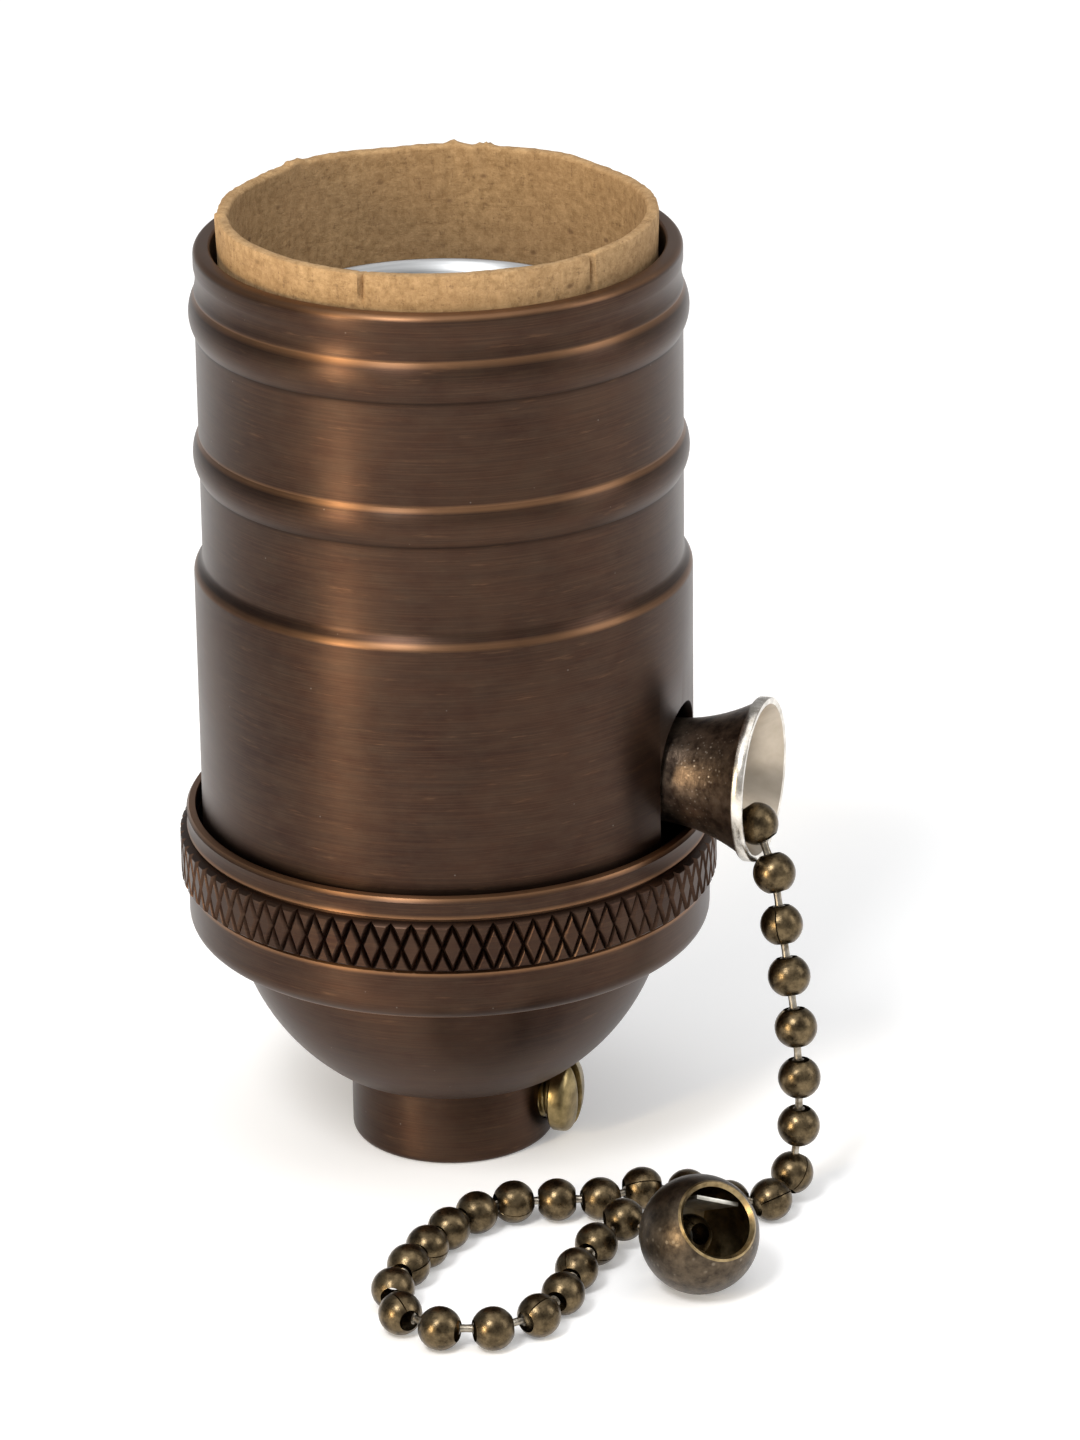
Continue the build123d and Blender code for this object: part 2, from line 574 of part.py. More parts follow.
def terminal_screw(side, name):
    """Binding-head terminal screw, driven in from one side."""
    with BuildPart() as screw:
        with BuildSketch(Plane.XZ.offset(-side * (TERMINAL_FLAT - 4.4))):
            with Locations((TERMINAL_X, TERMINAL_Z)):
                Circle(TERMINAL_SCREW_R)
        extrude(amount=-side * 5.6)
        with BuildSketch(Plane.XZ.offset(-side * (TERMINAL_FLAT + 0.86))):
            with Locations((TERMINAL_X, TERMINAL_Z)):
                Circle(TERMINAL_HEAD_R)
        extrude(amount=-side * 1.5)
        with BuildSketch(Plane.XZ.offset(-side * (TERMINAL_FLAT + 1.7))):
            with Locations((TERMINAL_X, TERMINAL_Z)):
                Rectangle(2 * TERMINAL_HEAD_R + 1, 0.8)
        extrude(amount=-side * 2, mode=Mode.SUBTRACT)
    save(screw, name)


terminal_plate(1, "hot_plate")
terminal_plate(-1, "neutral_plate")
terminal_screw(1, "hot_screw")
terminal_screw(-1, "neutral_screw")

# ---- switch: rotor, ratchet wheel, bridge and the fixed contacts ----------------------------------
with BuildPart() as ratchet_wheel:
    with BuildSketch(Plane.XY.offset(WHEEL_Z[0])):
        with Locations((ROTOR_X, 0)):
            Circle(WHEEL_ROOT_R)
            for tooth in range(WHEEL_TEETH):
                # each tooth rises anticlockwise to a steep face, which the pawl pushes clockwise
                start = radians(tooth * TOOTH_STEP)
                end = radians((tooth + 1) * TOOTH_STEP)
                corners = [
                    (WHEEL_ROOT_R * cos(start), WHEEL_ROOT_R * sin(start)),
                    (WHEEL_R * cos(end), WHEEL_R * sin(end)),
                    (WHEEL_ROOT_R * cos(end), WHEEL_ROOT_R * sin(end)),
                ]
                Polygon((0, 0), *corners, align=None)
            Circle(SHAFT_R + 0.02, mode=Mode.SUBTRACT)
    extrude(amount=WHEEL_Z[1] - WHEEL_Z[0])
save(ratchet_wheel, "ratchet_wheel")

with BuildPart() as rotor:
    with BuildSketch(Plane.XY.offset(DRUM_Z[0])):
        with Locations((ROTOR_X, 0)):
            Circle(DRUM_R)
            Circle(SHAFT_R + 0.02, mode=Mode.SUBTRACT)
            with PolarLocations(DRUM_R, 4, start_angle=45):
                Circle(0.5, mode=Mode.SUBTRACT)
    extrude(amount=DRUM_Z[1] - DRUM_Z[0])
    with BuildSketch(Plane.XY.offset(DRUM_Z[0] + 0.9)):
        with Locations((ROTOR_X, 0)):
            Rectangle(2.05, 2 * DRUM_R + 1)
    extrude(amount=1.55, mode=Mode.SUBTRACT)
save(rotor, "rotor")

with BuildPart() as contact_bridge:
    with BuildSketch(Plane.XY.offset(DRUM_Z[0] + 0.92)):
        with Locations((ROTOR_X, 0)):
            Circle(BRIDGE_REACH)
            Rectangle(2.0, 2 * BRIDGE_REACH, mode=Mode.INTERSECT)
            Circle(SHAFT_R + 0.06, mode=Mode.SUBTRACT)
    extrude(amount=1.5)
save(contact_bridge, "contact_bridge")

with BuildPart() as rotor_shaft:
    with BuildSketch(Plane.XY.offset(SHAFT_Z[0])):
        with Locations((ROTOR_X, 0)):
            Circle(SHAFT_R)
    extrude(amount=SHAFT_Z[1] - SHAFT_Z[0])
save(rotor_shaft, "rotor_shaft")

with BuildPart() as fixed_contacts:
    for side in (1, -1):
        with BuildSketch(Plane.XZ.offset(-1.5)):
            with BuildLine():
                leaf = BRIDGE_REACH + 0.15
                Polyline(
                    (ROTOR_X + side * leaf, WELL_FLOOR + 0.02),
                    (ROTOR_X + side * (leaf + 3.2), WELL_FLOOR + 0.02),
                    (ROTOR_X + side * (leaf + 3.2), WELL_FLOOR + 0.52),
                    (ROTOR_X + side * (leaf + 0.5), WELL_FLOOR + 0.52),
                    (ROTOR_X + side * (leaf + 0.5), WELL_FLOOR + 3.4),
                    (ROTOR_X + side * leaf, WELL_FLOOR + 3.4),
                    close=True,
                )
            make_face()
        extrude(amount=3.0)
save(fixed_contacts, "fixed_contacts")

with BuildPart() as detent_spring:
    with BuildSketch(Plane.XY.offset(DRUM_Z[0] + 2.6)):
        with BuildLine():
            Polyline(
                (ROTOR_X - 3.2, -4.35),
                (ROTOR_X + 3.2, -4.35),
                (ROTOR_X + 3.2, -4.1),
                (ROTOR_X + 0.6, -4.1),
                (ROTOR_X, -3.65),
                (ROTOR_X - 0.6, -4.1),
                (ROTOR_X - 3.2, -4.1),
                close=True,
            )
        make_face()
    extrude(amount=1.1)
save(detent_spring, "detent_spring")

# ---- pull train: slider with its chain hook, pawl and return spring -------------------------------
HOOK_X = 10.7
SLIDE_BACK = -8.9
SLIDE_WIDTH = 3.6
LUG_X = SPRING_X[0]

with BuildPart() as pull_slider:
    # flat slide with an arm for the pawl on one side and a lug for the spring on the other
    with BuildSketch(Plane.XY.offset(SLIDE_Z[0])):
        with Locations(((HOOK_X + SLIDE_BACK) / 2, 0)):
            Rectangle(HOOK_X - SLIDE_BACK, SLIDE_WIDTH)
        with Locations((PAWL_PIVOT[0], 3.4)):
            Rectangle(2.6, 6.6)
        with Locations((LUG_X - 0.4, -3.2)):
            Rectangle(0.8, 5.6)
    extrude(amount=SLIDE_Z[1] - SLIDE_Z[0])
    with BuildSketch(Plane.XY.offset(SLIDE_Z[0] - 1.1)):
        with Locations((LUG_X - 0.4, -4.6)):
            Rectangle(0.8, 2.8)
    extrude(amount=3.0)
    # hook: the end turns down in front of the spout, with a keyhole for the chain
    with BuildSketch(Plane.XY.offset(SPOUT_Z - 1.6)):
        with Locations((HOOK_X + 0.4, 0)):
            Rectangle(0.8, SLIDE_WIDTH)
    extrude(amount=SLIDE_Z[1] - SPOUT_Z + 1.6)
    with BuildSketch(side_plane(HOOK_X - 0.2)):
        with Locations((0, SPOUT_Z)):
            Circle(CHAIN_NECK_R + 0.25)
        with Locations((0, SPOUT_Z - 1)):
            Rectangle(2 * CHAIN_NECK_R + 0.3, 2)
    extrude(amount=1.4, mode=Mode.SUBTRACT)
    with BuildSketch(Plane.XY.offset(WHEEL_Z[0])):
        with Locations(PAWL_PIVOT):
            Circle(PAWL_PIN_R)
    extrude(amount=SLIDE_Z[0] - WHEEL_Z[0] + 0.1)
save(pull_slider, "pull_slider")

with BuildPart() as pawl:
    with BuildSketch(Plane.XY.offset(WHEEL_Z[0] + 0.1)):
        with Locations(PAWL_PIVOT):
            Circle(1.05)
        with BuildLine():
            Polyline(
                (PAWL_PIVOT[0], PAWL_PIVOT[1] + 0.9),
                (PAWL_PIVOT[0] + 3.4, PAWL_PIVOT[1] - 0.1),
                (PAWL_PIVOT[0] + 3.5, PAWL_PIVOT[1] - 1.1),
                (PAWL_PIVOT[0], PAWL_PIVOT[1] - 0.9),
                close=True,
            )
        make_face()
        with Locations(PAWL_PIVOT):
            Circle(PAWL_PIN_R + 0.05, mode=Mode.SUBTRACT)
    extrude(amount=WHEEL_Z[1] - WHEEL_Z[0] - 0.2)
save(pawl, "pawl")

SPRING_PITCH = (SPRING_X[1] - SPRING_X[0] - 2 * SPRING_WIRE_R - 0.1) / SPRING_TURNS

with BuildPart() as return_spring:
    with BuildLine():
        coil = Helix(
            pitch=SPRING_PITCH,
            height=SPRING_PITCH * SPRING_TURNS,
            radius=SPRING_R,
            center=(SPRING_X[0] + SPRING_WIRE_R + 0.05, SPRING_Y, SPRING_Z),
            direction=(1, 0, 0),
        )
    with BuildSketch(Plane(origin=coil @ 0, z_dir=coil % 0)):
        Circle(SPRING_WIRE_R)
    sweep(path=coil, is_frenet=True)
save(return_spring, "return_spring")

# ---- ball chain and its connector ------------------------------------------------------------------
route = [*CHAIN_ROUTE, tuple(CHAIN_TAIL)]
radii = corner_radii(route)
print("chain corner radii:", [round(r, 1) for r in radii])

with BuildPart() as pull_chain:
    with BuildLine():
        path = FilletPolyline(*route, radius=radii)
    with BuildSketch(Plane(origin=path @ 0, z_dir=path % 0)):
        Circle(CHAIN_R)
    sweep(path=path)
save(pull_chain, "pull_chain")
print(
    "chain length:", round(path.length, 2),
    "volume ratio:", round(pull_chain.part.volume / (pi * CHAIN_R**2 * path.length), 4),
)

# the end balls, each with the link that joins it to the rest of the chain
HOOKED_BALL_X = HOOK_X - 1.75

with BuildPart() as chain_end_balls:
    with Locations((HOOKED_BALL_X, 0, SPOUT_Z), CHAIN_END_BALL):
        Sphere(CHAIN_R)
    with BuildSketch(side_plane(HOOKED_BALL_X)):
        with Locations((0, SPOUT_Z)):
            Circle(CHAIN_NECK_R)
    extrude(amount=CHAIN_ROUTE[0][0] - HOOKED_BALL_X)
    with BuildSketch(Plane(origin=CHAIN_END_BALL, z_dir=CONNECTOR_TAIL_DIR)):
        Circle(CHAIN_NECK_R)
    extrude(amount=(CHAIN_TAIL - CHAIN_END_BALL).length)
save(chain_end_balls, "chain_end_balls")

with BuildPart() as connector_shell:
    with Locations(CONNECTOR_AT):
        Sphere(CONNECTOR_R)
        Sphere(CONNECTOR_R - CONNECTOR_WALL, mode=Mode.SUBTRACT)
    with BuildSketch(Plane(origin=CONNECTOR_AT, z_dir=CONNECTOR_MOUTH_DIR)):
        Circle(CONNECTOR_MOUTH_R)
    extrude(amount=CONNECTOR_R + 1, mode=Mode.SUBTRACT)
    with BuildSketch(Plane(origin=CONNECTOR_AT, z_dir=CONNECTOR_TAIL_DIR)):
        Circle(CHAIN_NECK_R + 0.45)
    extrude(amount=CONNECTOR_R + 1, mode=Mode.SUBTRACT)
save(connector_shell, "connector_shell")

# U-shaped clip inside the ball: two flat cheeks joined at the back
CLIP_PLANE = Plane(
    origin=CONNECTOR_AT,
    x_dir=Vector(0, 0, 1).cross(CONNECTOR_TAIL_DIR).normalized(),
    z_dir=-CONNECTOR_TAIL_DIR,
)
CLIP_GAP = 3.6
CLIP_SHEET = 0.3
CLIP_REACH = 2.1
CLIP_BACK = -2.85           # inner face of the strip that joins the cheeks

with BuildPart() as connector_clip:
    with BuildSketch(CLIP_PLANE.offset(CLIP_BACK)):
        with Locations((0, (CLIP_GAP + CLIP_SHEET) / 2), (0, -(CLIP_GAP + CLIP_SHEET) / 2)):
            Rectangle(2 * CLIP_REACH, CLIP_SHEET)
    extrude(amount=5.1)
    with BuildSketch(CLIP_PLANE.offset(CLIP_BACK - CLIP_SHEET)):
        Rectangle(2.2, CLIP_GAP + 2 * CLIP_SHEET)
        Circle(0.8, mode=Mode.SUBTRACT)
    extrude(amount=CLIP_SHEET)
    with Locations(CONNECTOR_AT):
        Sphere(CONNECTOR_R - CONNECTOR_WALL - 0.05, mode=Mode.INTERSECT)
save(connector_clip, "connector_clip")
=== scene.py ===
"""Visual model of a pull-chain lamp socket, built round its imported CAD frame.

The socket stands on its threaded neck at the origin, with +Z along its axis and the chain's spout along +X.
Outlines and sizes are written in millimetres and turned into metres where a mesh is made.
"""

import logging
import math
import random
from dataclasses import dataclass, field
from enum import Enum
from typing import Callable, Sequence

import bmesh
import bpy
from mathutils import Matrix, Vector, noise


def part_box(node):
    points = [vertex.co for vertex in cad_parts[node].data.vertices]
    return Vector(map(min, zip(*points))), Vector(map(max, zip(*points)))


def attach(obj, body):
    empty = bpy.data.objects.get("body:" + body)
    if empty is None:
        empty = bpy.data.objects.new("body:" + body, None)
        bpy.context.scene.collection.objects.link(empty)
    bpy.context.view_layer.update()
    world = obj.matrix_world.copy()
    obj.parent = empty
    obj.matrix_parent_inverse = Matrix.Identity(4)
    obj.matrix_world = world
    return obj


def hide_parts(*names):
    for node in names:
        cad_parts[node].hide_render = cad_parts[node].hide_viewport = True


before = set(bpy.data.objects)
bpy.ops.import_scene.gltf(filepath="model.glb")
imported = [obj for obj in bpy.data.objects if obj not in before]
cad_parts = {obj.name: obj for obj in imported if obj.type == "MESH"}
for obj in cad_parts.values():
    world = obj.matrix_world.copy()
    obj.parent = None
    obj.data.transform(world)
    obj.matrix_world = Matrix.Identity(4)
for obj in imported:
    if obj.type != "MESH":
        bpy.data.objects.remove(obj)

LOG = logging.getLogger("lamp_socket")
MM = 0.001

Outline = list[tuple[float, float]]
Colour = tuple[float, float, float]
Socket = bpy.types.NodeSocket
Test = Callable[[Vector], bool]


class Part(Enum):
    """What an edit-mode selection is made of."""

    VERTS = "VERT"
    EDGES = "EDGE"
    FACES = "FACE"


# ---- bench: the shared ways of shaping a piece ----------------------------------------------------


def pick(piece: bpy.types.Object) -> None:
    """Make one object the only selected one and the active one.

    Args:
        piece: The object that the next operators act on.
    """
    bpy.ops.object.select_all(action="DESELECT")
    piece.select_set(True)
    bpy.context.view_layer.objects.active = piece


def open_piece(piece: bpy.types.Object) -> None:
    """Open a piece in edit mode with all of it selected.

    Args:
        piece: The object to open.
    """
    pick(piece)
    bpy.ops.object.mode_set(mode="EDIT")
    bpy.ops.mesh.select_mode(type=Part.VERTS.value)
    bpy.ops.mesh.select_all(action="SELECT")


def close_piece() -> None:
    """Leave edit mode."""
    bpy.ops.object.mode_set(mode="OBJECT")


def choose(piece: bpy.types.Object, part: Part, test: Test) -> None:
    """Select the elements of the open piece whose middle passes a test.

    Args:
        piece: The object open in edit mode.
        part: Whether vertices, edges or faces are chosen.
        test: Says whether an element with this middle is chosen.
    """
    bpy.ops.mesh.select_mode(type=part.value)
    bpy.ops.mesh.select_all(action="DESELECT")
    work = bmesh.from_edit_mesh(piece.data)
    groups = {Part.VERTS: work.verts, Part.EDGES: work.edges, Part.FACES: work.faces}
    for item in groups[part]:
        corners = [item] if part is Part.VERTS else item.verts
        middle = sum((corner.co for corner in corners), Vector()) / len(corners)
        item.select_set(test(middle))
    work.select_flush_mode()
    bmesh.update_edit_mesh(piece.data)


def apply_modifier(piece: bpy.types.Object, kind: str, **settings: object) -> None:
    """Add a modifier with these settings and apply it at once.

    Args:
        piece: The object that takes the modifier.
        kind: The modifier's type.
        **settings: Values of the modifier's own properties.
    """
    pick(piece)
    modifier = piece.modifiers.new(kind.lower(), kind)
    for key, value in settings.items():
        setattr(modifier, key, value)
    bpy.ops.object.modifier_apply(modifier=modifier.name)


def cut(piece: bpy.types.Object, tool: bpy.types.Object) -> None:
    """Take a tool's shape out of a piece and put the tool away.

    Args:
        piece: The object that is cut.
        tool: The closed shape that goes.
    """
    apply_modifier(piece, "BOOLEAN", operation="DIFFERENCE", object=tool, solver="EXACT")
    bpy.data.objects.remove(tool)


def soften(piece: bpy.types.Object, width: float, segments: int = 2, angle: float = 24.0) -> None:
    """Round a piece's edges.

    Args:
        piece: The object whose edges are rounded.
        width: The bevel's width in millimetres.
        segments: Steps across each bevel.
        angle: Edges that turn by more degrees than this are rounded.
    """
    apply_modifier(
        piece,
        "BEVEL",
        width=width * MM,
        segments=segments,
        limit_method="ANGLE",
        angle_limit=math.radians(angle),
        use_clamp_overlap=True,
    )


def settle(piece: bpy.types.Object, name: str, angle: float = 34.0) -> bpy.types.Object:
    """Put a piece's place into its mesh, close its seams, turn its faces out and shade it.

    Args:
        piece: The object to finish.
        name: Its name from now on.
        angle: Edges that turn by fewer degrees than this are shaded smooth.

    Returns:
        The same object.
    """
    pick(piece)
    bpy.ops.object.transform_apply(location=True, rotation=True, scale=True)
    open_piece(piece)
    bpy.ops.mesh.remove_doubles(threshold=1e-7)
    bpy.ops.mesh.normals_make_consistent(inside=False)
    close_piece()
    bpy.ops.object.shade_smooth_by_angle(angle=math.radians(angle))
    piece.name = name
    piece.data.name = name
    return piece


def join(pieces: Sequence[bpy.types.Object]) -> bpy.types.Object:
    """Join pieces into the first of them.

    Args:
        pieces: The objects to join.

    Returns:
        The joined object.
    """
    bpy.ops.object.select_all(action="DESELECT")
    for piece in pieces:
        piece.select_set(True)
    bpy.context.view_layer.objects.active = pieces[0]
    bpy.ops.object.join()
    return pieces[0]


def arc(middle: tuple[float, float], radius: float, start: float, end: float, steps: int) -> Outline:
    """Points of an arc in the plane of an outline, both ends among them.

    Args:
        middle: The arc's centre as (radius, height).
        radius: The arc's radius.
        start: The first point's angle in degrees.
        end: The last point's angle.
        steps: How many spans the arc has.

    Returns:
        The points as (radius, height) pairs.
    """
    turns = [math.radians(start + (end - start) * step / steps) for step in range(steps + 1)]
    return [(middle[0] + radius * math.cos(t), middle[1] + radius * math.sin(t)) for t in turns]


def swell(low: float, high: float, wall: float, rise: float, steps: int = 10) -> Outline:
    """Points of a bead or cove between two heights of a wall.

    Args:
        low: Height where it starts.
        high: Height where it ends.
        wall: The wall's radius.
        rise: How far it stands out, or in when it is negative.
        steps: How many spans it has.

    Returns:
        The points as (radius, height) pairs.
    """
    shares = [step / steps for step in range(steps + 1)]
    return [(wall + rise * (1 - (2 * s - 1) ** 2), low + (high - low) * s) for s in shares]


def turn(outline: Outline, segments: int = 192, closed: bool = True) -> bpy.types.Object:
    """Turn an outline round the Z axis, ring by ring.

    Args:
        outline: Points as (radius, height) in millimetres, the first not repeated at the end.
        segments: Steps round the axis.
        closed: Whether the last ring is joined to the first.

    Returns:
        The turned object.
    """
    radius, height = outline[0]
    rest = outline[1:] + outline[:1] if closed else outline[1:]
    bpy.ops.object.select_all(action="DESELECT")
    bpy.ops.mesh.primitive_circle_add(vertices=segments, radius=radius * MM, location=(0, 0, height * MM))
    piece = bpy.context.object
    open_piece(piece)
    for next_radius, next_height in rest:
        move = (0, 0, (next_height - height) * MM)
        bpy.ops.mesh.extrude_region_move(TRANSFORM_OT_translate={"value": move})
        share = next_radius / radius
        bpy.ops.transform.resize(value=(share, share, 1), center_override=(0, 0, next_height * MM))
        radius, height = next_radius, next_height
    bpy.ops.mesh.select_all(action="SELECT")
    bpy.ops.mesh.remove_doubles(threshold=1e-7)
    bpy.ops.mesh.normals_make_consistent(inside=False)
    close_piece()
    bpy.ops.object.transform_apply(location=True, rotation=True, scale=True)
    return piece


def lay_along_x(piece: bpy.types.Object, height: float) -> None:
    """Lay a piece that was turned round Z along +X.

    Args:
        piece: The turned object.
        height: Where its axis goes, in metres.
    """
    pick(piece)
    piece.rotation_euler = (0, math.radians(90), 0)
    piece.location = (0, 0, height)
    bpy.ops.object.transform_apply(location=True, rotation=True, scale=True)


def rod(radius: float, start: Vector, end: Vector, segments: int = 48) -> bpy.types.Object:
    """A closed cylinder between two points, used as a cutting tool or a blank.

    Args:
        radius: Its radius in metres.
        start: The middle of its first end.
        end: The middle of its other end.
        segments: Steps round it.

    Returns:
        The cylinder.
    """
    line = end - start
    bpy.ops.object.select_all(action="DESELECT")
    bpy.ops.mesh.primitive_cylinder_add(
        vertices=segments,
        radius=radius,
        depth=line.length,
        location=(start + end) / 2,
        rotation=line.to_track_quat("Z", "Y").to_euler(),
    )
    return bpy.context.object


def block(low: Sequence[float], high: Sequence[float]) -> bpy.types.Object:
    """A closed box, used as a cutting tool or a blank.

    Args:
        low: Its lowest corner in metres.
        high: Its highest corner.

    Returns:
        The box.
    """
    middle = [(a + b) / 2 for a, b in zip(low, high)]
    bpy.ops.object.select_all(action="DESELECT")
    bpy.ops.mesh.primitive_cube_add(size=1, location=middle)
    piece = bpy.context.object
    piece.scale = [b - a for a, b in zip(low, high)]
    bpy.ops.object.transform_apply(location=True, rotation=True, scale=True)
    return piece


def roll_thread(piece: bpy.types.Object, test: Test, pitch: float, depth: float) -> None:
    """Push a turned wall in and out along a right-hand helix, fading at both of its ends.

    Args:
        piece: A piece turned round Z, with many rings on the wall.
        test: Says which vertices are on the wall.
        pitch: The thread's pitch in metres.
        depth: How far the crests stand out from the roots, in metres.
    """
    wall = [vertex for vertex in piece.data.vertices if test(vertex.co)]
    low = min(vertex.co.z for vertex in wall)
    high = max(vertex.co.z for vertex in wall)
    run_out = 0.625 * pitch
    for vertex in wall:
        place = vertex.co
        angle = math.atan2(place.y, place.x)
        wave = 0.5 + 0.5 * math.sin(2 * math.pi * place.z / pitch - angle)
        fade = min(1.0, (place.z - low) / run_out, (high - place.z) / run_out)
        flat = math.hypot(place.x, place.y)
        share = (flat + depth * wave * max(0.0, fade)) / flat
        vertex.co = (place.x * share, place.y * share, place.z)


def cut_slot(
    piece: bpy.types.Object, half: float, rise: tuple[float, float], reach: tuple[float, float], segments: int
) -> None:
    """Cut a slot through a turned wall's +X side, round at its top and open at its bottom.

    Args:
        piece: The turned wall.
        half: Half the slot's width in metres.
        rise: The wall's lowest height, and the height of the middle of the slot's round top.
        reach: Where the cut starts and ends along X.
        segments: Steps round the whole circle of its top.
    """
    (inner, outer), (bottom, height) = reach, rise
    cut(piece, rod(half, Vector((inner, 0, height)), Vector((outer, 0, height)), segments))
    cut(piece, block((inner, -half, bottom - 0.001), (outer, half, height)))


def coat(piece: bpy.types.Object, *materials: bpy.types.Material) -> None:
    """Give a piece its materials, the first of them for every face that isn't told otherwise."""
    for material in materials:
        piece.data.materials.append(material)


def place_piece(piece: bpy.types.Object, body: str, node: str) -> None:
    """Tie a finished piece to the frame.

    Args:
        piece: The finished object, with its materials.
        body: The CAD body that it rides on.
        node: The CAD node that it stands for.
    """
    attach(piece, body)
    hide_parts(node)
    LOG.info("%s: %d faces, rides on %s", piece.name, len(piece.data.polygons), body)


# ---- finishes ---------------------------------------------------------------------------------------


class NodeBoard:
    """A material's node tree, with short calls for the nodes that the finishes share."""

    def __init__(self, name: str) -> None:
        """Start a material with a Principled shader.

        Args:
            name: The material's name.
        """
        self.material = bpy.data.materials.new(name)
        self.material.use_nodes = True
        self.tree = self.material.node_tree
        self.tree.nodes.clear()
        output = self.tree.nodes.new("ShaderNodeOutputMaterial")
        self.shader = self.tree.nodes.new("ShaderNodeBsdfPrincipled")
        self.tree.links.new(self.shader.outputs["BSDF"], output.inputs["Surface"])

    def set(self, **values: float) -> None:
        """Set numbers on the shader's own sockets, with _ for a space in their names."""
        for key, value in values.items():
            self.shader.inputs[key.replace("_", " ")].default_value = value

    def feed(self, socket: str, source: Socket) -> None:
        """Link a source to one of the shader's sockets."""
        self.tree.links.new(source, self.shader.inputs[socket])

    def put(self, target: Socket, value: object) -> None:
        """Link a socket to an input, or set its value.

        Args:
            target: The input.
            value: A socket, a number or a colour with its alpha.
        """
        if isinstance(value, Socket):
            self.tree.links.new(value, target)
        else:
            target.default_value = value

    def place(self, scale: Sequence[float] = (1, 1, 1), turn_by: Sequence[float] = (0, 0, 0)) -> Socket:
        """Object coordinates through a Mapping node.

        Args:
            scale: The mapping's scale.
            turn_by: The mapping's rotation in degrees.

        Returns:
            The vector socket.
        """
        source = self.tree.nodes.new("ShaderNodeTexCoord").outputs["Object"]
        mapping = self.tree.nodes.new("ShaderNodeMapping")
        mapping.inputs["Scale"].default_value = scale
        mapping.inputs["Rotation"].default_value = [math.radians(a) for a in turn_by]
        self.tree.links.new(source, mapping.inputs["Vector"])
        return mapping.outputs["Vector"]

    def grain(self, vector: Socket, scale: float, detail: float = 3.0, rough: float = 0.55) -> Socket:
        """Noise over a vector.

        Args:
            vector: The vector socket.
            scale: The noise's scale.
            detail: Its octaves.
            rough: Its roughness.

        Returns:
            The value socket.
        """
        node = self.tree.nodes.new("ShaderNodeTexNoise")
        node.inputs["Scale"].default_value = scale
        node.inputs["Detail"].default_value = detail
        node.inputs["Roughness"].default_value = rough
        self.tree.links.new(vector, node.inputs["Vector"])
        return node.outputs["Fac"]

    def specks(self, vector: Socket, scale: float) -> Socket:
        """Distance to the nearest point of a scatter, for flakes, dust and pits.

        Args:
            vector: The vector socket.
            scale: Points per metre.

        Returns:
            The distance socket.
        """
        node = self.tree.nodes.new("ShaderNodeTexVoronoi")
        node.inputs["Scale"].default_value = scale
        self.tree.links.new(vector, node.inputs["Vector"])
        return node.outputs["Distance"]

    def ramp(self, value: Socket, stops: Sequence[tuple[float, float]]) -> Socket:
        """A ramp from grey to grey.

        Args:
            value: The value socket.
            stops: Pairs of position and grey.

        Returns:
            The colour socket.
        """
        node = self.tree.nodes.new("ShaderNodeValToRGB")
        marks = node.color_ramp.elements
        while len(marks) < len(stops):
            marks.new(0.5)
        for mark, (position, grey) in zip(marks, stops):
            mark.position = position
            mark.color = (grey, grey, grey, 1)
        self.tree.links.new(value, node.inputs["Fac"])
        return node.outputs["Color"]

    def math(self, operation: str, first: object, second: object) -> Socket:
        """A math node on sockets or numbers, clamped to 0 and 1.

        Args:
            operation: The node's operation.
            first: Its first input.
            second: Its second input.

        Returns:
            The value socket.
        """
        node = self.tree.nodes.new("ShaderNodeMath")
        node.operation = operation
        node.use_clamp = True
        self.put(node.inputs[0], first)
        self.put(node.inputs[1], second)
        return node.outputs[0]

    def mix(self, share: object, first: object, second: object) -> Socket:
        """Mix two colours.

        Args:
            share: How much of the second colour, as a socket or a number.
            first: A colour or colour socket.
            second: A colour or colour socket.

        Returns:
            The colour socket.
        """
        node = self.tree.nodes.new("ShaderNodeMix")
        node.data_type = "RGBA"
        self.put(node.inputs["Factor"], share)
        for socket, value in ((node.inputs[6], first), (node.inputs[7], second)):
            self.put(socket, (*value, 1) if isinstance(value, tuple) else value)
        return node.outputs[2]

    def span(self, value: Socket, low: float, high: float) -> Socket:
        """Map a value in 0..1 to low..high.

        Args:
            value: The value socket.
            low: What 0 becomes.
            high: What 1 becomes.

        Returns:
            The value socket.
        """
        node = self.tree.nodes.new("ShaderNodeMapRange")
        node.inputs["To Min"].default_value = low
        node.inputs["To Max"].default_value = high
        self.tree.links.new(value, node.inputs["Value"])
        return node.outputs["Result"]

    def bump(self, height: Socket, depth: float, strength: float, under: Socket | None = None) -> Socket:
        """A bump node, laid over another one if there is one.

        Args:
            height: The height socket.
            depth: The relief's depth in metres.
            strength: The node's strength.
            under: The normal socket of the bump beneath.

        Returns:
            The normal socket.
        """
        node = self.tree.nodes.new("ShaderNodeBump")
        node.inputs["Strength"].default_value = strength
        node.inputs["Distance"].default_value = depth
        self.tree.links.new(height, node.inputs["Height"])
        if under is not None:
            self.tree.links.new(under, node.inputs["Normal"])
        return node.outputs["Normal"]

    def round_tangent(self) -> None:
        """Turn the shader's anisotropy round the Z axis, as brushing on a lathe leaves it."""
        node = self.tree.nodes.new("ShaderNodeTangent")
        node.direction_type = "RADIAL"
        node.axis = "Z"
        self.tree.links.new(node.outputs["Tangent"], self.shader.inputs["Tangent"])


